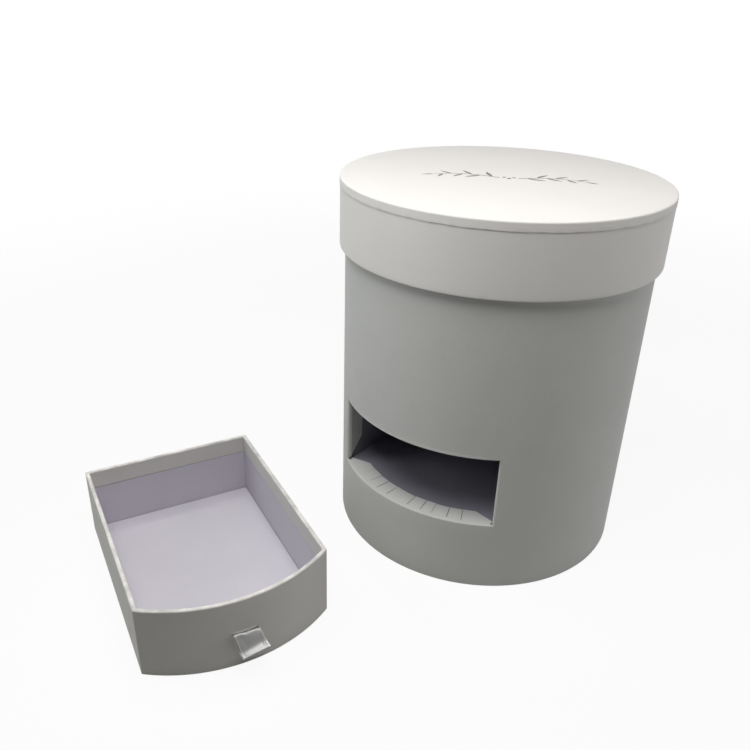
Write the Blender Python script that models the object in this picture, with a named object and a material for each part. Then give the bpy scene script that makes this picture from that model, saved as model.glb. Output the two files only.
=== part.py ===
"""Round flower gift box: a rigid paper-wrapped tube with a lift-off lid and a bow-fronted drawer.

Metres, +Z up. The origin is the middle of the box's underside, and the drawer's slot faces -Y.
The drawer stands beside the box. Its own frame has the middle of its front's arc as origin, so
that the same frame, set on the box's axis at the slot's height, is the drawer pushed home.
"""

import math

import bmesh
import bpy

# Sheets: the papers, the greyboards and the satin ribbon, and the glue line between two sheets.
# A wrap is folded in by TURN_IN, round FOLD_RADIUS over an edge, and the base paper stands FOOT
# proud of the folded edge.
PAPER = 0.00025
TUBE_BOARD = 0.0025
DISC_BOARD = 0.002
DRAWER_BOARD = 0.0015
RIBBON = 0.0003
GLUE = 0.0003
TURN_IN = 0.012
FOLD_RADIUS = 0.0008
FOOT = 0.0001

# Box: its outer radius, its height with the lid on, and the lid's fit over the wall
BOX_RADIUS = 0.100
CLOSED_HEIGHT = 0.2455
LID_RIM_HEIGHT = 0.044
LID_CLEARANCE = 0.0006
LID_SEAT_GAP = 0.0003
LID_FOLD = 0.0055

# Drawer: its outer size, the paper band inside its rim and its clearances in the slot and bay.
# It reaches back as far as leaves BAY_CORNER_GAP between the bay's back corners and the tube.
DRAWER_WIDTH = 0.115
DRAWER_HEIGHT = 0.048
DRAWER_BAND = 0.0125
DRAWER_SIDE_CLEARANCE = 0.0005
DRAWER_TOP_CLEARANCE = 0.0005
DRAWER_BACK_CLEARANCE = 0.001
BAY_CORNER_GAP = 0.00565

# Where the drawer stands on the table: the middle of its front's arc, and its turn
DRAWER_PLACE_X = -0.1057
DRAWER_PLACE_Y = -0.1811
DRAWER_TURN = math.radians(65.9)

# Slot: its height above the table, and the paper flaps that are folded in over its edges
SLOT_BOTTOM = 0.0495
TAB_LENGTH = 0.011
JAMB_FLAP = 0.0118
MITRE_CORNER = 0.0008
MITRE_SIDE = 0.0175
MITRE_REACH = 0.0030
SLIT_COUNT = 10
SLIT_PITCH = math.radians(5.5)
SLIT_WIDTH = 0.0004

# Ribbon pull: a flat loop through a slit in the front, with its ends glued inside
RIBBON_WIDTH = 0.016
RIBBON_OFF_CENTRE = -0.001
RIBBON_HEIGHT = 0.0247
RIBBON_REACH = 0.0105
RIBBON_DROP = 0.0095
RIBBON_SIDESTEP = 0.003
RIBBON_LEAN = math.radians(10)
RIBBON_ROOT_GAP = 0.0003
RIBBON_BULGE = 0.0008
RIBBON_FOLD_RADIUS = 0.0006
RIBBON_TAIL = 0.014
RIBBON_SLIT_PLAY = 0.0004

# Facets of a full turn, of the drawer's front, of a paper fold and of the ribbon and its fold,
# and the overrun of every cut
TURN_STEPS = 72
FRONT_STEPS = 8
PAPER_FOLD_STEPS = 2
RIBBON_STEPS = 12
RIBBON_FOLD_STEPS = 6
OVERRUN = 0.001
SHARP_ANGLE = math.radians(30)

# Levels and radii that follow from the sizes above
LAYER = PAPER + GLUE
TUBE_OUTER = BOX_RADIUS - LAYER
TUBE_INNER = TUBE_OUTER - TUBE_BOARD
INSIDE_FIT = TUBE_INNER - GLUE
BOARD_BOTTOM = FOOT + LAYER
SLOT_HALF = DRAWER_WIDTH / 2 + DRAWER_SIDE_CLEARANCE
SLOT_TOP = SLOT_BOTTOM + DRAWER_HEIGHT + DRAWER_TOP_CLEARANCE
FLOOR_PAPER_TOP = SLOT_BOTTOM - LAYER
FLOOR_BOARD_TOP = FLOOR_PAPER_TOP - LAYER
FLOOR_BOARD_BOTTOM = FLOOR_BOARD_TOP - DISC_BOARD
CEILING_BOTTOM = SLOT_TOP + LAYER
DECK_BOTTOM = CEILING_BOTTOM + LAYER
DECK_TOP = DECK_BOTTOM + DISC_BOARD
DECK_PAPER_TOP = DECK_TOP + LAYER
LID_LOW = CLOSED_HEIGHT - LID_RIM_HEIGHT
LID_BOARD_TOP = CLOSED_HEIGHT - LAYER
LID_BOARD_BOTTOM = LID_BOARD_TOP - DISC_BOARD
LID_LINING_BOTTOM = LID_BOARD_BOTTOM - LAYER
BOX_TOP = LID_LINING_BOTTOM - LID_SEAT_GAP
TUBE_TOP = BOX_TOP - LAYER
LID_INNER = BOX_RADIUS + LID_CLEARANCE
LID_BOARD_INNER = LID_INNER + LAYER
LID_BOARD_OUTER = LID_BOARD_INNER + DISC_BOARD
LID_OUTER = LID_BOARD_OUTER + LAYER
DRAWER_HALF = DRAWER_WIDTH / 2
DRAWER_BOARD_INSET = LAYER
DRAWER_LINING_INSET = DRAWER_BOARD_INSET + DRAWER_BOARD + GLUE
DRAWER_BASE_TOP = BOARD_BOTTOM + DRAWER_BOARD
BAY_WALL_INNER = SLOT_HALF + LAYER + LAYER
BAY_WALL_OUTER = BAY_WALL_INNER + DISC_BOARD
BAY_BACK_OUTER = math.sqrt((INSIDE_FIT - BAY_CORNER_GAP) ** 2 - BAY_WALL_OUTER ** 2)
BAY_BACK_INNER = BAY_BACK_OUTER - DISC_BOARD
DRAWER_BACK = BAY_BACK_INNER - LAYER - DRAWER_BACK_CLEARANCE
RIBBON_PAIR = 2 * RIBBON
RIBBON_HALF = RIBBON_WIDTH / 2


# Finishes: the sheet's name, its colour in linear light, its roughness and its sheen
WRAP_PAPER = ("white_wrap_paper", (0.66, 0.655, 0.635), 0.75, 0.0)
LID_PAPER = ("white_lid_paper", (0.80, 0.79, 0.77), 0.72, 0.0)
LINING_PAPER = ("lilac_lining_paper", (0.55, 0.53, 0.60), 0.85, 0.0)
GREYBOARD = ("greyboard", (0.36, 0.34, 0.31), 0.92, 0.0)
SATIN = ("silver_satin", (0.62, 0.63, 0.61), 0.35, 0.4)


def make_material(piece_name, finish):
    """A piece's own material in the colour of its sheet."""
    sheet, colour, roughness, sheen = finish
    made = bpy.data.materials.new(f"{piece_name}_{sheet}")
    made.use_nodes = True
    shader = made.node_tree.nodes["Principled BSDF"]
    shader.inputs["Base Color"].default_value = (*colour, 1.0)
    shader.inputs["Roughness"].default_value = roughness
    shader.inputs["Metallic"].default_value = 0.0
    shader.inputs["Sheen Weight"].default_value = sheen
    made.diffuse_color = (*colour, 1.0)
    return made


def empty(name, location=(0.0, 0.0, 0.0), turn=0.0):
    """A frame that carries the pieces of one moving group."""
    frame = bpy.data.objects.new(name, None)
    bpy.context.scene.collection.objects.link(frame)
    frame.location = location
    frame.rotation_euler = (0.0, 0.0, turn)
    return frame


def loft(name, loops, finish, ring=False, parent=None):
    """A closed solid through loops of points. A ring joins its last loop to its first."""
    mesh = bpy.data.meshes.new(name)
    shape = bmesh.new()
    rows = [[shape.verts.new(point) for point in loop] for loop in loops]
    pairs = list(zip(rows, rows[1:]))
    if ring:
        pairs.append((rows[-1], rows[0]))
    for lower, upper in pairs:
        for here in range(len(lower)):
            there = (here + 1) % len(lower)
            shape.faces.new((lower[here], lower[there], upper[there], upper[here]))
    if not ring:
        shape.faces.new(rows[0])
        shape.faces.new(rows[-1])
    bmesh.ops.recalc_face_normals(shape, faces=shape.faces)
    shape.to_mesh(mesh)
    shape.free()
    mesh.materials.append(make_material(name, finish))
    mesh.shade_smooth()
    mesh.set_sharp_from_angle(angle=SHARP_ANGLE)
    piece = bpy.data.objects.new(name, mesh)
    bpy.context.scene.collection.objects.link(piece)
    piece.parent = parent
    return piece


def combine(piece, tool, operation="DIFFERENCE"):
    """Cuts a piece by a tool, or joins the tool to it. The tool itself isn't part of the box."""
    modifier = piece.modifiers.new(tool.name, "BOOLEAN")
    modifier.operation = operation
    modifier.solver = "EXACT"
    modifier.object = tool
    tool.hide_render = True
    tool.display_type = "WIRE"


def circle(radius, z):
    """One turned loop."""
    angles = [math.tau * step / TURN_STEPS for step in range(TURN_STEPS)]
    return [(radius * math.cos(angle), radius * math.sin(angle), z) for angle in angles]


def turned(name, profile, finish, parent=None):
    """A ring turned about +Z from a closed profile of (radius, z) points."""
    return loft(name, [circle(radius, z) for radius, z in profile], finish, True, parent)


def disc(name, radius, bottom, top, finish, parent=None):
    """A flat round sheet."""
    return loft(name, [circle(radius, bottom), circle(radius, top)], finish, parent=parent)


def rounded(profile):
    """A profile of (place, level, radius) points, with an arc at each corner that has a radius."""
    points = [profile[0][:2]]
    for before, corner, after in zip(profile, profile[1:], profile[2:]):
        radius = corner[2]
        if not radius:
            points.append(corner[:2])
            continue
        back = unit(corner, before)
        ahead = unit(corner, after)
        for step in range(PAPER_FOLD_STEPS + 1):
            angle = math.pi / 2 * step / PAPER_FOLD_STEPS
            reach = (radius * (1 - math.sin(angle)), radius * (1 - math.cos(angle)))
            points.append((
                corner[0] + back[0] * reach[0] + ahead[0] * reach[1],
                corner[1] + back[1] * reach[0] + ahead[1] * reach[1],
            ))
    points.append(profile[-1][:2])
    return points


def unit(start, end):
    """The direction from one profile point to another."""
    run = (end[0] - start[0], end[1] - start[1])
    length = math.hypot(*run)
    return (run[0] / length, run[1] / length)


def tube(name, inner, outer, bottom, top, finish, parent=None):
    """A plain round wall."""
    profile = [(inner, bottom), (outer, bottom), (outer, top), (inner, top)]
    return turned(name, profile, finish, parent)


def prism(name, outline, bottom, top, finish, parent=None):
    """A flat sheet or a wall: a plan outline of (x, y) points between two levels."""
    loops = [[(x, y, z) for x, y in outline] for z in (bottom, top)]
    return loft(name, loops, finish, parent=parent)


def block(name, low, high, finish, parent=None):
    """A square-edged block between two corners."""
    outline = [(low[0], low[1]), (high[0], low[1]), (high[0], high[1]), (low[0], high[1])]
    return prism(name, outline, low[2], high[2], finish, parent)


def bow(radius, start, end, steps):
    """Points of the bowed front, at even angles from x = start to x = end, both on the arc."""
    first = math.asin(start / radius)
    last = math.asin(end / radius)
    angles = [first + (last - first) * step / steps for step in range(steps + 1)]
    return [(radius * math.sin(angle), -radius * math.cos(angle)) for angle in angles]


# The box's shell: base, tube with its slot, and the wrap that is folded over every edge
def box_shell():
    disc("box_base_board", INSIDE_FIT, BOARD_BOTTOM, BOARD_BOTTOM + DISC_BOARD, GREYBOARD)
    disc("box_base_paper", BOX_RADIUS - TURN_IN - GLUE, 0.0, FOOT + PAPER, WRAP_PAPER)

    wall = tube("box_tube", TUBE_INNER, TUBE_OUTER, BOARD_BOTTOM, TUBE_TOP, GREYBOARD)
    opening = block(
        "tube_slot_cutter",
        (-SLOT_HALF - LAYER, -BOX_RADIUS - OVERRUN, FLOOR_PAPER_TOP),
        (SLOT_HALF + LAYER, 0.0, CEILING_BOTTOM),
        GREYBOARD,
    )
    combine(wall, opening)

    fold_inner = INSIDE_FIT - PAPER
    profile = rounded([
        (BOX_RADIUS - TURN_IN, FOOT, 0),
        (BOX_RADIUS, FOOT, FOLD_RADIUS),
        (BOX_RADIUS, BOX_TOP, FOLD_RADIUS),
        (fold_inner, BOX_TOP, FOLD_RADIUS),
        (fold_inner, BOX_TOP - TURN_IN, 0),
        (INSIDE_FIT, BOX_TOP - TURN_IN, 0),
        (INSIDE_FIT, BOX_TOP - PAPER, FOLD_RADIUS - PAPER),
        (BOX_RADIUS - PAPER, BOX_TOP - PAPER, FOLD_RADIUS - PAPER),
        (BOX_RADIUS - PAPER, FOOT + PAPER, FOLD_RADIUS - PAPER),
        (BOX_RADIUS - TURN_IN, FOOT + PAPER, 0),
    ])
    skin = turned("box_wrap", profile, WRAP_PAPER)
    combine(skin, flap_sleeve(), "UNION")
    combine(skin, slot_opening())
    combine(skin, flap_mitres())
    combine(skin, tab_slits())


def flap_sleeve():
    """The block that the four flaps are cut from: as deep as the tabs, with its front in the skin."""
    side = SLOT_HALF + PAPER
    skin_middle = BOX_RADIUS - PAPER / 2
    tab_end = TUBE_INNER - TAB_LENGTH
    jamb_end = -math.sqrt(TUBE_INNER ** 2 - side ** 2) + JAMB_FLAP
    tab_corner = math.sqrt(tab_end ** 2 - jamb_end ** 2)
    outline = bow(skin_middle, -side, side, FRONT_STEPS)
    outline += [(side, jamb_end)]
    outline += bow(tab_end, tab_corner, -tab_corner, FRONT_STEPS)
    outline += [(-side, jamb_end)]
    return prism("flap_sleeve", outline, SLOT_BOTTOM - PAPER, SLOT_TOP + PAPER, WRAP_PAPER)


def slot_opening():
    """The clear way through the wrap and between its flaps."""
    low = (-SLOT_HALF, -BOX_RADIUS - OVERRUN, SLOT_BOTTOM)
    high = (SLOT_HALF, 0.0, SLOT_TOP)
    return block("slot_opening", low, high, WRAP_PAPER)


def flap_mitres():
    """Cuts the flaps' ends at 45 degrees, so that two that meet in a corner don't overlap."""
    corner_y = -math.sqrt(TUBE_INNER ** 2 - SLOT_HALF ** 2) + MITRE_CORNER
    inner_y = corner_y + MITRE_REACH
    shapes = []
    for side in (-1, 1):
        near = side * (SLOT_HALF + PAPER / 2)
        outline = [
            (near, corner_y),
            (side * (SLOT_HALF - MITRE_SIDE), inner_y),
            (side * (SLOT_HALF - MITRE_SIDE), 0.0),
            (near, 0.0),
        ]
        for middle, tag in ((SLOT_BOTTOM, "low"), (SLOT_TOP, "high")):
            name = f"tab_mitre_{tag}_{side + 1}"
            shapes.append(prism(name, outline, middle - OVERRUN, middle + OVERRUN, WRAP_PAPER))
        for edge, rise, tag in ((SLOT_BOTTOM, 1, "low"), (SLOT_TOP, -1, "high")):
            start = edge - rise * OVERRUN
            triangle = [
                (corner_y, start),
                (corner_y + OVERRUN + JAMB_FLAP, start),
                (corner_y + OVERRUN + JAMB_FLAP, edge + rise * JAMB_FLAP),
            ]
            loops = [
                [(side * (SLOT_HALF - OVERRUN), y, z) for y, z in triangle],
                [(side * (SLOT_HALF + OVERRUN), y, z) for y, z in triangle],
            ]
            shapes.append(loft(f"jamb_mitre_{tag}_{side + 1}", loops, WRAP_PAPER))
    return gather(shapes)


def tab_slits():
    """Radial slits that let the lower and upper flap follow the curve, as a set of thin blades."""
    root = TUBE_INNER - GLUE
    tip = TUBE_INNER - TAB_LENGTH - OVERRUN
    half = SLIT_WIDTH / 2
    blades = []
    for index in range(SLIT_COUNT):
        angle = (index - (SLIT_COUNT - 1) / 2) * SLIT_PITCH
        along = (math.sin(angle), -math.cos(angle))
        across = (math.cos(angle), math.sin(angle))
        corners = [(root, -half), (root, half), (tip, half), (tip, -half)]
        outline = [
            (reach * along[0] + off * across[0], reach * along[1] + off * across[1])
            for reach, off in corners
        ]
        low = SLOT_BOTTOM - OVERRUN
        high = SLOT_TOP + OVERRUN
        blades.append(prism(f"tab_slit_{index}", outline, low, high, WRAP_PAPER))
    return gather(blades)


def gather(tools):
    """Several cutters as one."""
    for other in tools[1:]:
        combine(tools[0], other, "UNION")
    return tools[0]


# The drawer's bay: a riser under the floor, three walls, the deck above, and their linings
def drawer_bay():
    riser_bottom = BOARD_BOTTOM + DISC_BOARD + GLUE
    riser_top = FLOOR_BOARD_BOTTOM - GLUE
    tube("bay_riser_ring", INSIDE_FIT - DISC_BOARD, INSIDE_FIT, riser_bottom, riser_top, GREYBOARD)
    disc("bay_floor_board", INSIDE_FIT, FLOOR_BOARD_BOTTOM, FLOOR_BOARD_TOP, GREYBOARD)

    wall_bottom = FLOOR_BOARD_TOP + GLUE
    wall_top = DECK_BOTTOM - GLUE
    front_outer = -math.sqrt(INSIDE_FIT ** 2 - BAY_WALL_OUTER ** 2)
    for name, side in (("bay_left_wall", -1), ("bay_right_wall", 1)):
        outline = [
            (side * BAY_WALL_INNER, front_outer),
            (side * BAY_WALL_OUTER, front_outer),
            (side * BAY_WALL_OUTER, BAY_BACK_INNER - GLUE),
            (side * BAY_WALL_INNER, BAY_BACK_INNER - GLUE),
        ]
        prism(name, outline, wall_bottom, wall_top, GREYBOARD)
    block(
        "bay_back_wall",
        (-BAY_WALL_OUTER, BAY_BACK_INNER, wall_bottom),
        (BAY_WALL_OUTER, BAY_BACK_OUTER, wall_top),
        GREYBOARD,
    )

    side = BAY_WALL_INNER - GLUE
    back = BAY_BACK_INNER - GLUE
    folded = [
        (-side, front_outer),
        (-side, back),
        (side, back),
        (side, front_outer),
        (side - PAPER, front_outer),
        (side - PAPER, back - PAPER),
        (-side + PAPER, back - PAPER),
        (-side + PAPER, front_outer),
    ]
    lining_bottom = FLOOR_BOARD_TOP + GLUE
    lining_top = DECK_BOTTOM - GLUE
    prism("bay_wall_lining", folded, lining_bottom, lining_top, LINING_PAPER)

    sheet_side = side - LAYER
    sheet_back = back - LAYER
    sheet = bow(INSIDE_FIT, -sheet_side, sheet_side, FRONT_STEPS)
    sheet += [(sheet_side, sheet_back), (-sheet_side, sheet_back)]
    floor_paper = FLOOR_PAPER_TOP - PAPER
    prism("bay_floor_lining", sheet, floor_paper, FLOOR_PAPER_TOP, LINING_PAPER)
    ceiling_paper = CEILING_BOTTOM + PAPER
    prism("bay_ceiling_lining", sheet, CEILING_BOTTOM, ceiling_paper, LINING_PAPER)


# The flower compartment above the deck: the wall's lining, and the deck's laid in after it
def flower_compartment():
    disc("deck_board", INSIDE_FIT, DECK_BOTTOM, DECK_TOP, GREYBOARD)
    inner = INSIDE_FIT - PAPER
    bottom = DECK_TOP + GLUE
    top = BOX_TOP - TURN_IN - GLUE
    tube("compartment_lining", inner, INSIDE_FIT, bottom, top, LINING_PAPER)
    disc("deck_lining", inner - GLUE, bottom, DECK_PAPER_TOP, LINING_PAPER)


# The lid: a disc inside a rim, the rim's wrap, and the top paper folded down over it
def lid():
    place = empty("lid_place", (0.0, 0.0, LID_LOW))

    def above(level):
        return level - LID_LOW

    board_radius = LID_BOARD_INNER - GLUE
    board_bottom = above(LID_BOARD_BOTTOM)
    board_top = above(LID_BOARD_TOP)
    disc("lid_top_board", board_radius, board_bottom, board_top, GREYBOARD, place)
    rim = (LID_BOARD_INNER, LID_BOARD_OUTER, LAYER, board_top)
    tube("lid_rim_board", *rim, GREYBOARD, place)

    wrap_inner = LID_OUTER - PAPER
    profile = rounded([
        (LID_OUTER, board_top, 0),
        (LID_OUTER, 0.0, FOLD_RADIUS),
        (LID_INNER, 0.0, FOLD_RADIUS),
        (LID_INNER, TURN_IN, 0),
        (LID_INNER + PAPER, TURN_IN, 0),
        (LID_INNER + PAPER, PAPER, FOLD_RADIUS - PAPER),
        (wrap_inner, PAPER, FOLD_RADIUS - PAPER),
        (wrap_inner, board_top, 0),
    ])
    turned("lid_rim_wrap", profile, WRAP_PAPER, place)

    skirt_inner = LID_OUTER + GLUE
    skirt_outer = skirt_inner + PAPER
    top = above(CLOSED_HEIGHT)
    profile = rounded([
        (0.0, top - PAPER, 0),
        (skirt_inner, top - PAPER, FOLD_RADIUS - PAPER),
        (skirt_inner, top - LID_FOLD, 0),
        (skirt_outer, top - LID_FOLD, 0),
        (skirt_outer, top, FOLD_RADIUS),
        (0.0, top, 0),
    ])
    loops = [circle(radius, z) for radius, z in profile[1:-1]]
    loft("lid_top_paper", loops, LID_PAPER, parent=place)

    lining_bottom = above(LID_LINING_BOTTOM)
    lining_top = lining_bottom + PAPER
    disc("lid_top_lining", board_radius, lining_bottom, lining_top, LINING_PAPER, place)
    rim_lining = (LID_INNER, LID_INNER + PAPER, TURN_IN + GLUE, lining_bottom - GLUE)
    tube("lid_rim_lining", *rim_lining, LINING_PAPER, place)


def drawer_outline(inset, z, relief=0.0):
    """The drawer's plan at an inset from its outside. A relief steps the front in at the ribbon."""
    half = DRAWER_HALF - inset
    radius = BOX_RADIUS - inset
    back = DRAWER_BACK - inset
    if relief:
        pocket = RIBBON_HALF + inset - DRAWER_LINING_INSET + RIBBON_SLIT_PLAY
        left = RIBBON_OFF_CENTRE - pocket
        right = RIBBON_OFF_CENTRE + pocket
        front = bow(radius, -half, left, FRONT_STEPS)
        front += bow(radius - relief, left, right, FRONT_STEPS)
        front += bow(radius, right, half, FRONT_STEPS)
    else:
        front = bow(radius, -half, half, FRONT_STEPS + FRONT_STEPS)
    return [(x, y, z) for x, y in front + [(half, back), (-half, back)]]


# The drawer's boards: a base, three flat walls and the bowed front
def drawer_boards(place):
    outer = DRAWER_BOARD_INSET
    inner = outer + DRAWER_BOARD
    bottom = BOARD_BOTTOM
    top = DRAWER_HEIGHT - LAYER
    base_inset = inner + GLUE
    base = [drawer_outline(base_inset, bottom), drawer_outline(base_inset, DRAWER_BASE_TOP)]
    loft("drawer_base_board", base, GREYBOARD, parent=place)

    half_outer = DRAWER_HALF - outer
    half_inner = DRAWER_HALF - inner
    butt = BOX_RADIUS - inner - GLUE
    for name, side in (("drawer_left_wall", -1), ("drawer_right_wall", 1)):
        outline = [
            (side * half_inner, -math.sqrt(butt ** 2 - half_inner ** 2)),
            (side * half_outer, -math.sqrt(butt ** 2 - half_outer ** 2)),
            (side * half_outer, DRAWER_BACK - outer),
            (side * half_inner, DRAWER_BACK - outer),
        ]
        prism(name, outline, bottom, top, GREYBOARD, place)
    back_half = half_inner - GLUE
    low = (-back_half, DRAWER_BACK - inner, bottom)
    high = (back_half, DRAWER_BACK - outer, top)
    block("drawer_back_wall", low, high, GREYBOARD, place)

    steps = FRONT_STEPS + FRONT_STEPS
    front = bow(BOX_RADIUS - outer, -half_outer, half_outer, steps)
    front += bow(BOX_RADIUS - inner, half_outer, -half_outer, steps)
    board = prism("drawer_front_board", front, bottom, top, GREYBOARD, place)
    combine(board, ribbon_slit("board_ribbon_slit", place))


# The drawer's papers: the wrap with its band inside the rim, and the lilac lining
def drawer_papers(place):
    rim = DRAWER_LINING_INSET + PAPER
    profile = rounded([
        (TURN_IN, FOOT, 0),
        (0.0, FOOT, FOLD_RADIUS),
        (0.0, DRAWER_HEIGHT, FOLD_RADIUS),
        (rim, DRAWER_HEIGHT, FOLD_RADIUS),
        (rim, DRAWER_HEIGHT - DRAWER_BAND, 0),
        (rim - PAPER, DRAWER_HEIGHT - DRAWER_BAND, 0),
        (rim - PAPER, DRAWER_HEIGHT - PAPER, FOLD_RADIUS - PAPER),
        (PAPER, DRAWER_HEIGHT - PAPER, FOLD_RADIUS - PAPER),
        (PAPER, FOOT + PAPER, FOLD_RADIUS - PAPER),
        (TURN_IN, FOOT + PAPER, 0),
    ])
    loops = [drawer_outline(inset, z) for inset, z in profile]
    wrap = loft("drawer_wrap", loops, WRAP_PAPER, True, place)
    combine(wrap, ribbon_slit("wrap_ribbon_slit", place))
    paper_inset = TURN_IN + GLUE
    loops = [drawer_outline(paper_inset, 0.0), drawer_outline(paper_inset, FOOT + PAPER)]
    loft("drawer_base_paper", loops, WRAP_PAPER, parent=place)

    relief = tail_depth() + GLUE
    bottom = DRAWER_BASE_TOP + GLUE
    top = DRAWER_HEIGHT - DRAWER_BAND - GLUE
    outer = DRAWER_LINING_INSET
    inner = outer + PAPER
    corners = [(outer, bottom), (inner, bottom), (inner, top), (outer, top)]
    loops = [drawer_outline(inset, z, relief) for inset, z in corners]
    loft("drawer_wall_lining", loops, LINING_PAPER, True, place)
    sheet = inner + GLUE
    loops = [drawer_outline(sheet, z, relief) for z in (bottom, bottom + PAPER)]
    loft("drawer_floor_lining", loops, LINING_PAPER, parent=place)


def tail_depth():
    """How far the flat ribbon ends stand in from the bowed board, at the middle of the front."""
    inner = BOX_RADIUS - DRAWER_BOARD_INSET - DRAWER_BOARD
    edge = RIBBON_HALF - RIBBON_OFF_CENTRE
    return RIBBON_PAIR + inner - math.sqrt(inner ** 2 - edge ** 2)


def ribbon_slit(name, place):
    """The slit in the front, a little wider and higher than the doubled ribbon."""
    half = RIBBON_HALF + RIBBON_SLIT_PLAY
    rise = RIBBON_PAIR / 2 + RIBBON_SLIT_PLAY
    low = (RIBBON_OFF_CENTRE - half, -BOX_RADIUS - OVERRUN, RIBBON_HEIGHT - rise)
    front_inner = -BOX_RADIUS + DRAWER_LINING_INSET
    high = (RIBBON_OFF_CENTRE + half, front_inner + OVERRUN, RIBBON_HEIGHT + rise)
    return block(name, low, high, GREYBOARD, place)


# The ribbon: its two ends glued behind the front, and the loop that swings at the slit
def ribbon(place):
    edge = RIBBON_HALF - RIBBON_OFF_CENTRE
    board_inner = BOX_RADIUS - DRAWER_BOARD_INSET - DRAWER_BOARD
    mouth = -math.sqrt(BOX_RADIUS ** 2 - edge ** 2)
    glued = -math.sqrt(board_inner ** 2 - edge ** 2) + GLUE
    pair_half = RIBBON_PAIR / 2
    profile = [
        (mouth, RIBBON_HEIGHT + pair_half),
        (glued + RIBBON_PAIR, RIBBON_HEIGHT + pair_half),
        (glued + RIBBON_PAIR, RIBBON_HEIGHT - RIBBON_TAIL),
        (glued, RIBBON_HEIGHT - RIBBON_TAIL),
        (glued, RIBBON_HEIGHT - pair_half),
        (mouth, RIBBON_HEIGHT - pair_half),
    ]
    sides = (RIBBON_OFF_CENTRE - RIBBON_HALF, RIBBON_OFF_CENTRE + RIBBON_HALF)
    loops = [[(x, y, z) for y, z in profile] for x in sides]
    loft("ribbon_tails", loops, SATIN, parent=place)

    outline = strip(ribbon_path(), RIBBON)
    loops = [[leaned(x, y, z) for y, z in outline] for x in (-RIBBON_HALF, RIBBON_HALF)]
    pull = loft("ribbon_pull", loops, SATIN, parent=place)
    pull.location = (RIBBON_OFF_CENTRE, -BOX_RADIUS - RIBBON_ROOT_GAP, RIBBON_HEIGHT)


def ribbon_path():
    """Middle line of the loop in (y, z): out of the slit, down the front, out to the fold and back."""
    root = (RIBBON + RIBBON_ROOT_GAP) / 2
    upper = []
    lower = []
    for step in range(RIBBON_STEPS + 1):
        share = step / RIBBON_STEPS
        ease = share * share * (3 - 2 * share)
        slope = 6 * share * (1 - share) * RIBBON_DROP / RIBBON_REACH
        length = math.hypot(1, slope)
        spread = root + (RIBBON_FOLD_RADIUS - root) * share + RIBBON_BULGE * math.sin(math.pi * share)
        middle = (-RIBBON_REACH * share, -RIBBON_DROP * ease)
        lift = (-slope / length * spread, spread / length)
        upper.append((middle[0] + lift[0], middle[1] + lift[1]))
        lower.append((middle[0] - lift[0], middle[1] - lift[1]))
    fold = []
    for step in range(1, RIBBON_FOLD_STEPS):
        angle = math.pi * step / RIBBON_FOLD_STEPS
        out = RIBBON_REACH + RIBBON_FOLD_RADIUS * math.sin(angle)
        fold.append((-out, -RIBBON_DROP + RIBBON_FOLD_RADIUS * math.cos(angle)))
    return upper + fold + lower[::-1]


def leaned(x, y, z):
    """A point of the loop, stepped and turned sideways in step with its distance from the slit."""
    share = -y / RIBBON_REACH
    angle = RIBBON_LEAN * share
    return (x * math.cos(angle) + RIBBON_SIDESTEP * share, y, z + x * math.sin(angle))


def strip(path, thickness):
    """The outline of a strip of even thickness along an open path."""
    left = []
    right = []
    for index, (y, z) in enumerate(path):
        before = path[max(index - 1, 0)]
        after = path[min(index + 1, len(path) - 1)]
        run = (after[0] - before[0], after[1] - before[1])
        length = math.hypot(*run)
        normal = (run[1] / length * thickness / 2, -run[0] / length * thickness / 2)
        left.append((y + normal[0], z + normal[1]))
        right.append((y - normal[0], z - normal[1]))
    return left + right[::-1]


def main():
    for old in list(bpy.data.objects):
        bpy.data.objects.remove(old, do_unlink=True)
    box_shell()
    drawer_bay()
    flower_compartment()
    lid()
    place = empty("drawer_place", (DRAWER_PLACE_X, DRAWER_PLACE_Y, 0.0), DRAWER_TURN)
    drawer_boards(place)
    drawer_papers(place)
    ribbon(place)


main()
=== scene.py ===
import math
import random

import bmesh
import bpy
from mathutils import Matrix, Vector, noise


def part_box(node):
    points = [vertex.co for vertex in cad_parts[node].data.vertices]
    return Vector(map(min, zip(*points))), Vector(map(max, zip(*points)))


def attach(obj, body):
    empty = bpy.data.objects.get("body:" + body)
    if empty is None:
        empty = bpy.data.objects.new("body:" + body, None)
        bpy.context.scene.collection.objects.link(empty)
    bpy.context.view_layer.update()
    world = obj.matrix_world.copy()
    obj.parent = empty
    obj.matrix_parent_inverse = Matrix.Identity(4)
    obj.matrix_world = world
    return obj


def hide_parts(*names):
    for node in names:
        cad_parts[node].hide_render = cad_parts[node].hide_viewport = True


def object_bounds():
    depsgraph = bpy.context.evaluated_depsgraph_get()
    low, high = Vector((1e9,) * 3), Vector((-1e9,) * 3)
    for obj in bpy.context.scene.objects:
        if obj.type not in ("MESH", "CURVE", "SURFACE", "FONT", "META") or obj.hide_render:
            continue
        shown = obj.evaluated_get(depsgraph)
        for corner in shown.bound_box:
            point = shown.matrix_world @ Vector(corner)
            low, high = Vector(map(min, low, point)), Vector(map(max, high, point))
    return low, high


# The looks of a round flower gift box: a paper-wrapped tube with a lift-off lid, and a bow-fronted
# drawer that is drawn out and set down beside it. Metres, +Z up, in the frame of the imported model.
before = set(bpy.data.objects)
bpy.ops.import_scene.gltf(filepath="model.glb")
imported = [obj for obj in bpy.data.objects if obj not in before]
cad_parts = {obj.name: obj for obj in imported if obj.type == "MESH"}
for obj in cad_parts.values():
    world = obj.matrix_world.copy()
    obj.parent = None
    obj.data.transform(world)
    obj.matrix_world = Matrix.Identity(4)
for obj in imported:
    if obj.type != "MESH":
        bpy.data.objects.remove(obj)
cad_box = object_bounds()


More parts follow.
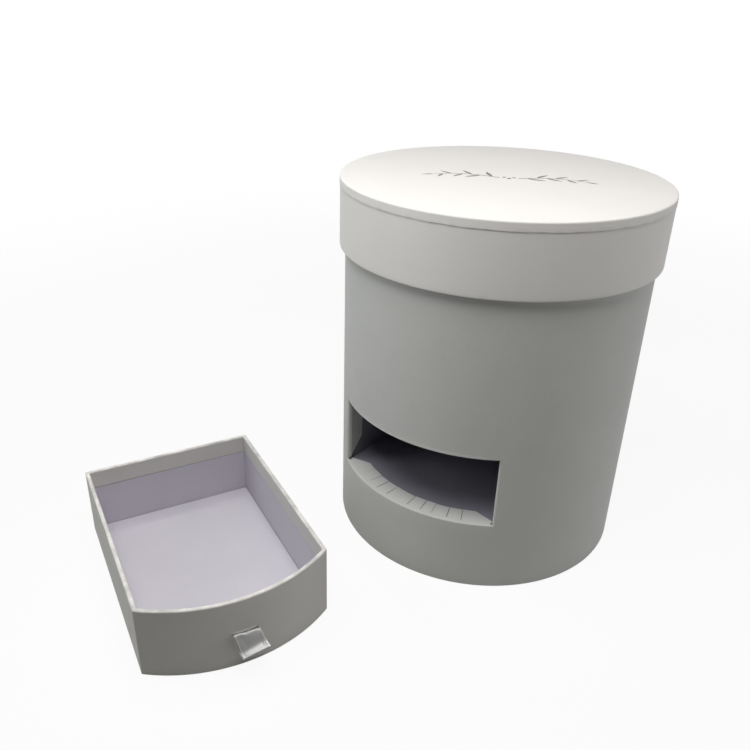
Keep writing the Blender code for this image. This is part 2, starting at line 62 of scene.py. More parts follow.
# Camera
# A phone's main lens a good half metre from the box, held above it and to its right, and tipped a
# little. The frame is square.
CAMERA_PLACE = (0.23018, -0.43392, 0.34946)
CAMERA_HEADING = math.radians(37.083)
CAMERA_DIP = math.radians(26.973)
CAMERA_ROLL = math.radians(1.739)
SENSOR = 36.0
FRAME_SIDE_PX = 750.0
FOCAL_PX = 761.9

camera = bpy.data.objects.new("camera", bpy.data.cameras.new("camera"))
bpy.context.scene.collection.objects.link(camera)
camera.data.sensor_fit = "HORIZONTAL"
camera.data.sensor_width = SENSOR
camera.data.lens = SENSOR * FOCAL_PX / FRAME_SIDE_PX
camera.data.clip_start = 0.01
camera.data.clip_end = 100.0
turn = Matrix.Rotation(CAMERA_HEADING, 4, "Z")
dip = Matrix.Rotation(math.pi / 2 - CAMERA_DIP, 4, "X")
roll = Matrix.Rotation(CAMERA_ROLL, 4, "Z")
camera.matrix_world = Matrix.Translation(CAMERA_PLACE) @ turn @ dip @ roll
bpy.context.scene.camera = camera
bpy.context.scene.view_settings.view_transform = "Standard"


# Table and light
# A pale matt table that runs to the horizon, under three soft lamps overhead, a narrow one over the
# drawer and five at the sides. Seen straight on or in a gloss the table is white, and it keeps the
# box's soft shadow.
TABLE_RADIUS = 6.0
TABLE_STEPS = 96
TABLE_DROP = 0.0002
TABLE_SHADE = "#bebebc"
TABLE_SEEN_SHADE = "#fafafa"
TABLE_WHITE = 0.92
TABLE_NEAR = 0.40
TABLE_FAR = 1.10
WHITE = (1.0, 1.0, 1.0, 1.0)
BOX_AIM = (0.0, -0.05, 0.1)
DRAWER_AIM = (-0.090, -0.232, 0.01)
# Name, place, aim, size, spread in degrees, power in watts and tint
LAMPS = (
    ("lamp_overhead", (0.05, -0.27, 0.62), BOX_AIM, 0.34, 180.0, 1.35, "#fffdfa"),
    ("lamp_overhead_right", (0.18, -0.05, 0.62), BOX_AIM, 0.34, 180.0, 0.5, "#fffdfa"),
    ("lamp_overhead_left", (-0.25, -0.30, 0.80), BOX_AIM, 0.40, 180.0, 1.15, "#fffdfc"),
    ("lamp_left_front", (-0.90, -0.85, 0.75), BOX_AIM, 0.60, 180.0, 2.1, "#f7fffb"),
    ("lamp_left_front_low", (-0.95, -0.55, 0.30), BOX_AIM, 0.50, 180.0, 1.2, "#fefffd"),
    ("lamp_left_low", (-0.95, 0.25, 0.35), BOX_AIM, 0.50, 180.0, 1.0, "#f2fffd"),
    ("lamp_right_back", (0.80, 0.80, 0.30), BOX_AIM, 0.50, 180.0, 2.5, "#fdfeff"),
    ("lamp_right_low", (1.10, 0.30, 0.30), BOX_AIM, 0.50, 180.0, 1.1, "#fffdfa"),
    ("lamp_over_drawer", (-0.27, -0.03, 0.75), DRAWER_AIM, 0.16, 24.0, 0.020, "#fffdfc"),
)


def linear(colour):
    """A colour written as sRGB hex, in linear light."""
    shares = [int(colour[place:place + 2], 16) / 255 for place in (1, 3, 5)]
    return (*[s / 12.92 if s <= 0.04045 else ((s + 0.055) / 1.055) ** 2.4 for s in shares], 1.0)


def add(tree, kind, inputs=None, **settings):
    """Adds a node with its settings. Each input is a value, the socket that feeds it, or a node whose
    first output does."""
    made = tree.nodes.new(kind)
    for name, value in settings.items():
        setattr(made, name, value)
    for name, value in (inputs or {}).items():
        if isinstance(value, bpy.types.Node):
            value = value.outputs[0]
        if isinstance(value, bpy.types.NodeSocket):
            tree.links.new(value, made.inputs[name])
        else:
            made.inputs[name].default_value = value
    return made


def new_material(name):
    """An empty material and its node tree."""
    made = bpy.data.materials.new(name)
    made.use_nodes = True
    made.node_tree.nodes.clear()
    return made, made.node_tree


def seen_directly(tree):
    """1 for rays from the camera, in a gloss or through something clear, and 0 for the rest."""
    ray = add(tree, "ShaderNodeLightPath").outputs
    both = add(
        tree, "ShaderNodeMath", {0: ray["Is Camera Ray"], 1: ray["Is Glossy Ray"]}, operation="ADD",
    )
    return add(
        tree, "ShaderNodeMath", {0: both, 1: ray["Is Transmission Ray"]},
        operation="ADD", use_clamp=True,
    )


def painted_table():
    """Matt paint: an even pale tone with no gloss, pure white away from the box."""
    material, tree = new_material("painted_table_matt")
    place = add(tree, "ShaderNodeTexCoord").outputs["Object"]
    reach = add(tree, "ShaderNodeVectorMath", {0: place}, operation="LENGTH").outputs["Value"]
    whiteness = add(
        tree, "ShaderNodeMapRange",
        {"Value": reach, "From Min": TABLE_NEAR, "From Max": TABLE_FAR, "To Min": TABLE_WHITE,
         "To Max": 1.0},
        interpolation_type="SMOOTHSTEP",
    )
    bounced = add(tree, "ShaderNodeBsdfDiffuse", {"Color": linear(TABLE_SHADE)})
    lit = add(tree, "ShaderNodeBsdfDiffuse", {"Color": linear(TABLE_SEEN_SHADE)})
    white = add(tree, "ShaderNodeEmission", {"Color": WHITE, "Strength": 1.0})
    seen = add(tree, "ShaderNodeMixShader", {0: whiteness, 1: lit, 2: white})
    both = add(tree, "ShaderNodeMixShader", {0: seen_directly(tree), 1: bounced, 2: seen})
    add(tree, "ShaderNodeOutputMaterial", {"Surface": both})
    return material


table_mesh = bpy.data.meshes.new("table")
table_shape = bmesh.new()
bmesh.ops.create_circle(table_shape, cap_ends=True, segments=TABLE_STEPS, radius=TABLE_RADIUS)
table_shape.to_mesh(table_mesh)
table_shape.free()
table_mesh.materials.append(painted_table())
table = bpy.data.objects.new("table", table_mesh)
bpy.context.scene.collection.objects.link(table)
table.location = (0.0, 0.0, cad_box[0].z - TABLE_DROP)

room = bpy.data.worlds.new("studio")
bpy.context.scene.world = room
room.use_nodes = True
studio = room.node_tree
studio.nodes.clear()
backdrop = add(studio, "ShaderNodeBackground", {"Color": WHITE, "Strength": 1.0})
# The room's white is only seen, and the lamps alone light the box
view = add(studio, "ShaderNodeMixShader", {0: seen_directly(studio), 2: backdrop})
add(studio, "ShaderNodeOutputWorld", {"Surface": view})

for lamp_name, place, aim, side, spread, power, tint in LAMPS:
    lamp = bpy.data.objects.new(lamp_name, bpy.data.lights.new(lamp_name, "AREA"))
    lamp.data.shape = "DISK"
    lamp.data.size = side
    lamp.data.spread = math.radians(spread)
    lamp.data.energy = power
    lamp.data.color = linear(tint)[:3]
    lamp.location = place
    lamp.rotation_euler = (Vector(aim) - Vector(place)).to_track_quat("-Z", "Y").to_euler()
    bpy.context.scene.collection.objects.link(lamp)


# Boards
# Recycled greyboard: the 2.5 mm tube, the 2 mm discs, rims and bay walls and the 1.5 mm drawer walls,
# cut or rolled, and glued at their edges. All of it is papered, and only cut edges show in the gaps.
GLUE = 0.0003
BOARD_FLECK = 0.0009
BOARD_FIBRE = 0.0004
BOARD_GRAIN_DEPTH = 0.0001
# Dark flecks, the board itself, and pale flecks
BOARD_TONES = ((0.33, "#5f5a53"), (0.45, "#9a948a"), (0.70, "#bdb7ab"))
TUBE_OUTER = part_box("box_tube")[1].x
TUBE_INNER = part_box("box_base_board")[1].x + GLUE
TUBE_CUT = 0.05825
TUBE_STEPS = 48
SLOT_STEPS = 16
SAME_PLACE = 0.000002
SHARP_ANGLE = math.radians(35.0)
BOARDS = (
    "box_base_board", "bay_riser_ring", "bay_floor_board", "bay_left_wall",
    "bay_right_wall", "bay_back_wall", "deck_board", "lid_top_board", "lid_rim_board",
    "drawer_base_board", "drawer_left_wall", "drawer_right_wall", "drawer_back_wall",
    "drawer_front_board",
)


def greyboard():
    """Pressed waste paper: grey-brown, dead matt, with dark and pale flecks of old print and pulp."""
    material, tree = new_material("recycled_greyboard_pressed")
    place = add(tree, "ShaderNodeTexCoord").outputs["Object"]
    fleck = add(tree, "ShaderNodeTexNoise", {"Vector": place, "Scale": 1 / BOARD_FLECK, "Detail": 3.0})
    fibre = add(tree, "ShaderNodeTexNoise", {"Vector": place, "Scale": 1 / BOARD_FIBRE, "Detail": 4.0})
    tone = add(tree, "ShaderNodeValToRGB", {"Fac": fleck})
    tone.color_ramp.elements.new(BOARD_TONES[1][0])
    for stop, (share, shade) in zip(tone.color_ramp.elements, BOARD_TONES):
        stop.position = share
        stop.color = linear(shade)
    grain = add(
        tree, "ShaderNodeBump", {"Height": fibre, "Strength": 0.5, "Distance": BOARD_GRAIN_DEPTH},
    )
    board = add(
        tree, "ShaderNodeBsdfPrincipled",
        {"Base Color": tone, "Roughness": 0.9, "IOR": 1.45, "Normal": grain},
    )
    add(tree, "ShaderNodeOutputMaterial", {"Surface": board})
    return material


def dress(node, material):
    """Gives a carried-over piece its finish."""
    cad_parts[node].material_slots[0].material = material


def around(radius, angle, level):
    """A point at an angle from the front, seen from above, positive to the right."""
    return Vector((radius * math.sin(angle), -radius * math.cos(angle), level))


def spaced(start, end, count):
    """Even steps from start to end, with both."""
    return [start + (end - start) * step / count for step in range(count + 1)]


def patch(shape, rows, skip=()):
    """Adds a net of faces through rows of points. A skipped (row, column) stays open."""
    net = [[shape.verts.new(point) for point in row] for row in rows]
    for row in range(len(net) - 1):
        for column in range(len(net[row]) - 1):
            if (row, column) in skip:
                continue
            shape.faces.new((
                net[row][column], net[row][column + 1], net[row + 1][column + 1], net[row + 1][column],
            ))
    return net


def sheet_piece(name, shape, material, thickness, outward=None):
    """Makes a closed piece of a net of faces: joins its parts, faces it out, and gives it its
    thickness on the hidden side. outward is a point and a direction that face the eye there."""
    bmesh.ops.remove_doubles(shape, verts=shape.verts, dist=SAME_PLACE)
    loose = [vert for vert in shape.verts if not vert.link_faces]
    bmesh.ops.delete(shape, geom=loose, context="VERTS")
    bmesh.ops.recalc_face_normals(shape, faces=shape.faces)
    if outward:
        spot, way = [Vector(part) for part in outward]
        near = min(shape.faces, key=lambda face: (face.calc_center_median() - spot).length)
        if near.normal.dot(way) < 0:
            bmesh.ops.reverse_faces(shape, faces=shape.faces)
    mesh = bpy.data.meshes.new(name)
    shape.to_mesh(mesh)
    shape.free()
    piece = bpy.data.objects.new(name, mesh)
    bpy.context.scene.collection.objects.link(piece)
    if thickness:
        solid = piece.modifiers.new("thickness", "SOLIDIFY")
        solid.thickness = thickness
        solid.offset = -1.0
        solid.use_quality_normals = True
        bpy.context.view_layer.update()
        seen = piece.evaluated_get(bpy.context.evaluated_depsgraph_get())
        settled = bpy.data.meshes.new_from_object(seen)
        piece.modifiers.clear()
        piece.data = settled
        bpy.data.meshes.remove(mesh)
        settled.name = name
    piece.data.materials.clear()
    piece.data.materials.append(material)
    piece.data.shade_smooth()
    piece.data.set_sharp_from_angle(angle=SHARP_ANGLE)
    return piece


def box_tube():
    """The rolled tube, with the slot cut square to its wall, so that its sides aren't parallel."""
    shape = bmesh.new()
    cut = math.asin(TUBE_CUT / TUBE_INNER)
    back = spaced(math.pi, cut, TUBE_STEPS)[:-1]
    angles = [-angle for angle in back] + spaced(-cut, cut, SLOT_STEPS) + back[::-1]
    low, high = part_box("box_tube")
    levels = [low.z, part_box("bay_floor_lining")[1].z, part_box("bay_ceiling_lining")[0].z, high.z]
    skip = {(1, column) for column in range(TUBE_STEPS, TUBE_STEPS + SLOT_STEPS)}
    outer, inner = [
        patch(shape, [[around(radius, angle, level) for angle in angles] for level in levels], skip)
        for radius in (TUBE_OUTER, TUBE_INNER)
    ]
    behind = {vert: twin for line, twins in zip(outer, inner) for vert, twin in zip(line, twins)}
    seam = {line[0] for line in outer} | {line[-1] for line in outer}
    for edge in [edge for edge in shape.edges if edge.is_boundary and edge.verts[0] in behind]:
        near, far = edge.verts
        if near not in seam or far not in seam:
            shape.faces.new((near, far, behind[far], behind[near]))
    return sheet_piece("box_tube_board", shape, board_finish, 0.0)


board_finish = greyboard()
for board_name in BOARDS:
    dress(board_name, board_finish)
tube = box_tube()
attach(tube, "box")
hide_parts("box_tube")


# The box's wrap and base sheet
# One length of white uncoated paper, rolled round the tube with a lap at the back and turned in at foot
# and top. At the slot it is folded in over all four edges: the lower and upper flap are slit into tabs
# to follow the curve, and the side flaps have 45 degree ends.
PAPER = 0.00025
FOLD = 0.0008
FOLD_STEPS = 6
TURN_IN = 0.012
BOX_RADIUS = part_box("box_wrap")[1].x
BOX_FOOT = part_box("box_wrap")[0].z
BOX_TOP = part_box("box_wrap")[1].z
TURN_IN_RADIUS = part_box("compartment_lining")[1].x - PAPER
SLOT_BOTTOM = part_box("bay_floor_lining")[1].z + PAPER + GLUE
SLOT_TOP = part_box("bay_ceiling_lining")[0].z - PAPER - GLUE
SLOT_HALF = 0.058
# The tabs start at their root, and tip up and end a little unevenly
TAB_TIP = TUBE_INNER - 0.011
TAB_ROOT = 0.0967
TAB_RADII = (
    0.0987, 0.0980, 0.0974, TAB_ROOT, 0.0958, 0.0945, 0.0930, 0.0915, 0.0900, 0.0885, 0.0870, TAB_TIP,
)
TAB_STEPS = 5
TAB_LIFT = 0.00022
TAB_TRIM = 0.0002
# Place in degrees from the front, and gap in millimetres
SLITS = (
    (-24.5, 0.10), (-18.6, 0.24), (-13.3, 0.44), (-7.6, 0.40), (-2.7, 0.06),
    (2.7, 0.40), (8.4, 0.45), (12.9, 0.20), (19.1, 0.46), (24.7, 0.42),
)
# The side flaps: their fold, the crease at the board's inner edge, which is cut aslant, and the flap
JAMB_FOLD = 0.0015
JAMB_CREASE = 0.0577
JAMB_FLAP = 0.05824
JAMB_SLANT = math.radians(20.0)
JAMB_SHORTFALL = 0.0016
JAMB_STEPS = 3
JAMB_EASE = 0.0012
JAMB_DEPTHS = (0.0003, 0.0007, 0.0012, 0.0025, 0.0045, 0.0065, 0.0085, 0.0105, 0.0120)
CORNER_NOTCH = 0.0006
BULGE = 0.0003
BULGE_RISE = 0.0008
MITRE_START = (0.0576, -0.0767)
MITRE_END = (0.0405, -0.0739)
HALVINGS = 30
LAP = math.radians(6.0)
LAP_EASE = math.radians(3.5)
LAP_SINK = PAPER + 0.00002
FOOT_SLIT_PITCH = math.radians(8.0)
FOOT_SLIT = math.radians(0.25)
FOOT_SLIT_ROWS = 4
TURN_RIPPLE = 0.00008
TURN_RIPPLE_SIZE = 0.006
TURN_EASE = 0.001
# The lid's white paper, painted a shade greyer as shade on the walls
WRAP_SHADED_WHITE = "#d7d8d6"
PAPER_CLOUD = 0.028
PAPER_GRAIN = 0.0011
PAPER_FIBRE = 0.0005
PAPER_GLOSS = 0.2
PAPER_UNEVEN = 0.05
fold_turns = spaced(0.0, math.pi / 2, FOLD_STEPS)


def pulp_paper(name, shade, roughness, grain_depth, clouds=0.035, seam=None):
    """Uncoated wood-free paper, calendered: matt and pale, with faint clouds of thicker pulp and a
    felt-side grain. The grain is really about 0.3 mm, and is drawn coarser so that it shows. The last
    argument gives the level, reach, size and depth of a band of painted shade in faint patches along an
    edge; a depth below 0 paints light instead."""
    material, tree = new_material(name)
    place = add(tree, "ShaderNodeTexCoord").outputs["Object"]
    cloud, grain, fibre = [
        add(tree, "ShaderNodeTexNoise", {"Vector": place, "Scale": 1 / size, "Detail": detail})
        for size, detail in ((PAPER_CLOUD, 3.0), (PAPER_GRAIN, 3.0), (PAPER_FIBRE, 5.0))
    ]
    mottle = add(tree, "ShaderNodeMath", {0: cloud, 1: grain}, operation="ADD")
    value = add(
        tree, "ShaderNodeMapRange",
        {"Value": mottle, "From Min": 0.6, "From Max": 1.4,
         "To Min": 1.0 - clouds, "To Max": 1.0 + clouds},
    )
    if seam:
        level, reach, size, depth = seam
        height = add(tree, "ShaderNodeSeparateXYZ", {"Vector": place}).outputs["Z"]
        off = add(tree, "ShaderNodeMath", {0: height, 1: level}, operation="SUBTRACT")
        away = add(tree, "ShaderNodeMath", {0: off}, operation="ABSOLUTE")
        near = add(
            tree, "ShaderNodeMapRange",
            {"Value": away, "From Min": 0.0, "From Max": reach, "To Min": depth, "To Max": 0.0},
            interpolation_type="SMOOTHSTEP",
        )
        band_patches = add(tree, "ShaderNodeTexNoise", {"Vector": place, "Scale": 1 / size, "Detail": 4.0})
        spread = add(tree, "ShaderNodeMapRange", {"Value": band_patches, "From Min": 0.35, "From Max": 0.65})
        # Painted shade along the band; a depth below 0 paints light instead
        painted_shading = add(tree, "ShaderNodeMath", {0: near, 1: spread}, operation="MULTIPLY")
        value = add(tree, "ShaderNodeMath", {0: value, 1: painted_shading}, operation="SUBTRACT")
    tone = add(tree, "ShaderNodeHueSaturation", {"Color": linear(shade), "Value": value})
    matt = add(
        tree, "ShaderNodeMapRange",
        {"Value": fibre, "From Min": 0.3, "From Max": 0.7,
         "To Min": roughness - PAPER_UNEVEN, "To Max": roughness + PAPER_UNEVEN},
    )
    felt = add(tree, "ShaderNodeBump", {"Height": grain, "Strength": 1.0, "Distance": grain_depth})
    surface = add(
        tree, "ShaderNodeBump",
        {"Height": fibre, "Strength": 1.0, "Distance": grain_depth / 3, "Normal": felt},
    )
    paper = add(
        tree, "ShaderNodeBsdfPrincipled",
        {"Base Color": tone, "Roughness": matt, "IOR": 1.47, "Specular IOR Level": PAPER_GLOSS,
         "Normal": surface},
    )
    add(tree, "ShaderNodeOutputMaterial", {"Surface": paper})
    return material


def trace(corners):
    """A sheet seen edge-on, through (place, level, fold radius, steps to the next corner)."""
    stops = [Vector(corner[:2]) for corner in corners]
    line = [stops[0]]
    for index in range(1, len(stops)):
        radius = corners[index][2]
        arc = [stops[index]]
        if radius:
            back = (stops[index - 1] - stops[index]).normalized() * radius
            ahead = (stops[index + 1] - stops[index]).normalized() * radius
            arc = [
                stops[index] + back * (1 - math.sin(turned)) + ahead * (1 - math.cos(turned))
                for turned in fold_turns
            ]
        start = line[-1]
        steps = corners[index - 1][3]
        line += [start.lerp(arc[0], step / steps) for step in range(1, steps)]
        line += arc
    return line


def smooth(share):
    """Eases 0 to 1."""
    share = min(max(share, 0.0), 1.0)
    return share * share * (3 - 2 * share)


def ripple(point, size, seed):
    """A soft unevenness from -1 to 1, of about that size in metres."""
    return noise.noise(Vector(point) / size + Vector((seed, seed * 0.7, 0.0)))


def heading(angle):
    """The way out at an angle from the front, in plan."""
    return Vector((math.sin(angle), -math.cos(angle)))


def bearing(point):
    """The angle from the front at which a place lies."""
    return math.atan2(point.x, -point.y)


def jamb_fillet():
    """Middle of the fold at a side of the slot. The board's edge there is cut a little aslant."""
    crease = Vector((JAMB_CREASE, -math.sqrt(TUBE_INNER ** 2 - SLOT_HALF ** 2)))
    out = heading(JAMB_SLANT)
    start = crease + out.orthogonal() * JAMB_FOLD
    along = start.dot(out)
    reach = math.sqrt(along ** 2 + (BOX_RADIUS - JAMB_FOLD) ** 2 - start.length ** 2) - along
    return start + out * reach


jamb_centre = jamb_fillet()
slot_edge = bearing(jamb_centre)


def jamb_turn(fold_turn):
    """How far round its own fold the side flap is where it meets the lower flap's fold."""
    centre = BOX_RADIUS - JAMB_FOLD
    radius = BOX_RADIUS - FOLD * (1 - math.cos(fold_turn))
    reach = (radius ** 2 - centre ** 2 - JAMB_FOLD ** 2) / (2 * centre * JAMB_FOLD)
    return math.acos(min(reach, 1.0))


def jamb_point(turned):
    """A point of the side flap's fold in plan, by how far round the fold it is."""
    return jamb_centre + heading(slot_edge - turned) * JAMB_FOLD


def slot_columns(limit):
    """Angles of the tabs' corners and of the steps between them, out to a limit at both ends."""
    half_gaps = [0.001 * gap / 2 / TAB_TIP for _, gap in SLITS]
    places = [math.radians(place) for place, _ in SLITS]
    starts = [-limit] + [place + half for place, half in zip(places, half_gaps)]
    ends = [place - half for place, half in zip(places, half_gaps)] + [limit]
    columns = []
    for start, end in zip(starts, ends):
        columns += spaced(start, end, TAB_STEPS)
    return columns


def tab_limit(radius):
    """How far round the lower flap reaches at a radius: to the jamb, and further in to its mitre."""
    corner = math.hypot(*MITRE_START)
    if radius > corner:
        share = (radius - corner) / (BOX_RADIUS - FOLD - corner)
        return math.asin((MITRE_START[0] - CORNER_NOTCH * math.sin(math.pi * share)) / radius)
    low = 0.0
    high = 1.0
    start = Vector(MITRE_START)
    run = Vector(MITRE_END) - start
    for _ in range(HALVINGS):
        middle = (low + high) / 2
        if (start + run * middle).length > radius:
            low = middle
        else:
            high = middle
    return bearing(start + run * low)


def bulge(angle):
    """How far the wrap stands off along the slot's top, where it turns in over the cut edge."""
    return BULGE * max(0.0, 1 - (angle / slot_edge) ** 6)


def slot_flap(shape, edge, rise, seed):
    """The lower or upper flap: the fold over the edge, then the tabs. rise is +1 for the lower one."""
    rows = []
    for turned in fold_turns:
        limit = bearing(jamb_point(jamb_turn(turned)))
        radius = BOX_RADIUS - FOLD * (1 - math.cos(turned))
        level = edge - rise * FOLD * (1 - math.sin(turned))
        row = []
        for angle in slot_columns(limit):
            off = bulge(angle * slot_edge / limit) * math.cos(turned) * (rise < 0)
            row.append(around(radius + off, angle, level))
        rows.append(row)
    root = FOLD_STEPS + TAB_RADII.index(TAB_ROOT) + 1
    chance = random.Random(seed)
    lifts = [(chance.random(), chance.random()) for _ in range(len(SLITS) + 1)]
    tips = [chance.uniform(-TAB_TRIM, TAB_TRIM) for _ in range(len(SLITS) + 1)]
    for radius in TAB_RADII:
        row = []
        share = smooth((TAB_ROOT - radius) / (TAB_ROOT - TAB_TIP))
        for index, angle in enumerate(slot_columns(tab_limit(radius))):
            tab, step = divmod(index, TAB_STEPS + 1)
            left, right = lifts[tab]
            lift = TAB_LIFT * share * (left + (right - left) * step / TAB_STEPS)
            row.append(around(radius + tips[tab] * share, angle, edge + rise * lift))
        rows.append(row)
    gaps = [tab * (TAB_STEPS + 1) + TAB_STEPS for tab in range(len(SLITS))]
    patch(shape, rows, {(row, gap) for row in range(root, len(rows)) for gap in gaps})


def jamb_flap(shape, side, levels):
    """A side flap: the fold, the strip over the tube's cut edge, and the flap on the bay's wall."""
    rows = []
    shares = [(level - levels[0]) / (levels[-1] - levels[0]) for level in levels]

    def add_row(x, y, low):
        high = SLOT_TOP + SLOT_BOTTOM - low
        rows.append([(side * x, y, low + (high - low) * share) for share in shares])

    for turned in fold_turns:
        point = jamb_point(jamb_turn(turned))
        add_row(point.x, point.y, SLOT_BOTTOM - FOLD * (1 - math.sin(turned)))
    start = jamb_turn(fold_turns[-1])
    end = math.pi / 2 + slot_edge - JAMB_SLANT
    for step in range(1, JAMB_STEPS + 1):
        point = jamb_point(start + (end - start) * step / JAMB_STEPS)
        add_row(point.x, point.y, SLOT_BOTTOM + JAMB_SHORTFALL * step / JAMB_STEPS)
    board_edge = -math.sqrt(TUBE_INNER ** 2 - SLOT_HALF ** 2)
    for step in range(1, JAMB_STEPS + 1):
        point = jamb_point(end).lerp(Vector((JAMB_CREASE, board_edge)), step / JAMB_STEPS)
        add_row(point.x, point.y, SLOT_BOTTOM + JAMB_SHORTFALL)
    for depth in JAMB_DEPTHS:
        x = JAMB_CREASE + (JAMB_FLAP - JAMB_CREASE) * smooth(depth / JAMB_EASE)
        add_row(x, board_edge + depth, SLOT_BOTTOM + JAMB_SHORTFALL + depth)
    patch(shape, rows)


def lapped(low, under, angle):
    """A place on a strip's profile at an angle from the front. Its start lies sunk under its end."""
    return low.lerp(under, 1 - smooth((angle + math.pi - LAP / 2) / LAP_EASE))


def box_profile(sink):
    """The wrap seen edge-on, from under the base up the wall and in over the top edge."""
    radius = BOX_RADIUS - sink
    foot = BOX_FOOT + sink
    top = BOX_TOP - sink
    inner = TURN_IN_RADIUS + sink
    fold = FOLD - sink
    return trace([
        (BOX_RADIUS - TURN_IN, foot, 0, 6),
        (radius, foot, fold, 8),
        (radius, SLOT_BOTTOM - FOLD, 0, 12),
        (radius, SLOT_TOP + FOLD, 0, 1),
        (radius, SLOT_TOP + FOLD + BULGE_RISE, 0, 1),
        (radius, SLOT_TOP + FOLD + 2 * BULGE_RISE, 0, 24),
        (radius, top, fold, 4),
        (inner, top, fold, 6),
        (inner, BOX_TOP - TURN_IN, 0, 1),
    ])


def back_columns():
    """Angles from the slot's right edge round the back, past the lap, with a slit at each pitch and
    quarters of the pitch between."""
    reach = math.pi + LAP / 2 - slot_edge
    count = round(reach / FOOT_SLIT_PITCH)
    pitch = reach / count
    columns = [slot_edge, slot_edge + pitch / 4]
    for index in range(count):
        place = slot_edge + pitch * (index + 0.5)
        columns += [place - FOOT_SLIT / 2, place + FOOT_SLIT / 2]
        columns += [place + pitch * step / 4 for step in (1, 2, 3) if index < count - 1 or step < 3]
    return columns


def box_wrap():
    """The whole sheet: wall, turn-ins and the four flaps at the slot."""
    shape = bmesh.new()
    full = box_profile(0.0)
    sunk = box_profile(LAP_SINK)
    right = back_columns()
    middle = slot_columns(slot_edge)
    columns = [-angle for angle in reversed(right)] + middle[1:-1] + right
    wall = [place for place, point in enumerate(full) if abs(point.x - BOX_RADIUS) < SAME_PLACE]
    low_row = min(wall, key=lambda place: abs(full[place].y - SLOT_BOTTOM + FOLD))
    high_row = min(wall, key=lambda place: abs(full[place].y - SLOT_TOP - FOLD))
    rows = []
    for index, (low, under) in enumerate(zip(full, sunk)):
        row = []
        for angle in columns:
            point = lapped(low, under, angle)
            place = around(point.x + bulge(angle) * (index == high_row), angle, point.y)
            inside = smooth((BOX_RADIUS - 2 * TURN_EASE - low.x) / TURN_EASE) * (low.y > SLOT_TOP)
            waviness = ripple(place, TURN_RIPPLE_SIZE, seed=3.0)
            row.append(place + around(TURN_RIPPLE * inside * waviness, angle, 0.0))
        rows.append(row)
    left_edge = len(right) - 1
    right_edge = len(right) + len(middle) - 2
    skip = {(row, col) for row in range(low_row, high_row) for col in range(left_edge, right_edge)}
    narrow = [
        col for col in range(len(columns) - 1)
        if columns[col + 1] - columns[col] < FOOT_SLIT * 1.5 and abs(columns[col]) > slot_edge
    ]
    skip |= {(row, col) for row in range(FOOT_SLIT_ROWS) for col in narrow}
    patch(shape, rows, skip)
    slot_flap(shape, SLOT_BOTTOM, rise=1, seed=5)
    slot_flap(shape, SLOT_TOP, rise=-1, seed=8)
    levels = [full[row].y for row in range(low_row, high_row + 1)]
    for side in (1, -1):
        jamb_flap(shape, side, levels)
    facing = ((0.0, BOX_RADIUS, BOX_TOP / 2), (0.0, 1.0, 0.0))
    return sheet_piece("box_wrap_paper", shape, wrap_finish, PAPER, facing)


# Cool white and flat, painted a shade greyer than the lid's as shade: soft shading and no highlight
wrap_finish = pulp_paper(
    "white_wrapping_paper_painted_shade", WRAP_SHADED_WHITE, roughness=0.78, grain_depth=0.00002,
)
box_skin = box_wrap()
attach(box_skin, "box")
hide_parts("box_wrap")
dress("box_base_paper", wrap_finish)


# The drawer's bay and the flower compartment
# Lining paper glued to the floor, walls and ceiling of the bay, painted slate grey as shade so that the
# bay reads dim. The deck above it and the inside of the tube have lilac-white paper, which laps round
# the tube at one side.
LINING_SHADE = "#d8d5de"
# The lining paper, painted slate grey as shade
BAY_PAINTED_SHADE = "#8f8d9a"
LINING_LAP_AT = math.radians(100.0)
LINING_LAP = math.radians(4.0)
LINING_STEPS = 150
LINING_ROWS = 12
LINING_RIPPLE = 0.00004
LINING_RIPPLE_SIZE = 0.02


def lining_tube(name, node, body):
    """A strip of lining bent round inside a wall. Its end lies over its start."""
    low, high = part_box(node)
    shape = bmesh.new()
    inner = high.x - PAPER
    middle = (low + high) / 2
    rows = []
    for level in spaced(low.z, high.z, LINING_ROWS):
        row = []
        for angle in spaced(LINING_LAP_AT, LINING_LAP_AT + math.tau + LINING_LAP, LINING_STEPS):
            over = smooth((angle - LINING_LAP_AT - math.tau + 2 * LINING_LAP) / LINING_LAP)
            radius = inner - LAP_SINK * over
            place = around(radius, angle, level)
            waviness = ripple(place, LINING_RIPPLE_SIZE, seed=9.0)
            place += around(LINING_RIPPLE * waviness, angle, 0.0)
            row.append(place + Vector((middle.x, middle.y, 0.0)))
        rows.append(row)
    patch(shape, rows)
    facing = ((middle.x, middle.y + inner, middle.z), (0.0, -1.0, 0.0))
    piece = sheet_piece(name, shape, lining_finish, PAPER, facing)
    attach(piece, body)
    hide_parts(node)


# White with a breath of lilac, quite matt
lining_finish = pulp_paper(
    "lilac_lining_paper_uncoated", LINING_SHADE, roughness=0.80, grain_depth=0.000015, clouds=0.03,
)
# Painted shade: a bluish grey, so that the bay is dim behind its white flaps
bay_shaded_finish = pulp_paper(
    "lining_paper_painted_slate_shade", BAY_PAINTED_SHADE, roughness=0.85, grain_depth=0.000015, clouds=0.03,
)
for lining in ("bay_floor_lining", "bay_wall_lining", "bay_ceiling_lining"):
    dress(lining, bay_shaded_finish)
dress("deck_lining", lining_finish)
lining_tube("compartment_lining_paper", "compartment_lining", "box")


# The lid
# The rim's wrap is a strip of the same white paper, turned in at its lower edge and lapped at the back.
# The top's paper is folded down over it by about 5.5 mm, where it is gathered to follow the curve.
LID_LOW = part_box("lid_rim_wrap")[0].z
LID_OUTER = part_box("lid_rim_wrap")[1].x
LID_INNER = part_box("lid_rim_lining")[1].x - PAPER
LID_WRAP_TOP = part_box("lid_rim_wrap")[1].z
LID_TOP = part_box("lid_top_paper")[1].z
SKIRT_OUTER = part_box("lid_top_paper")[1].x
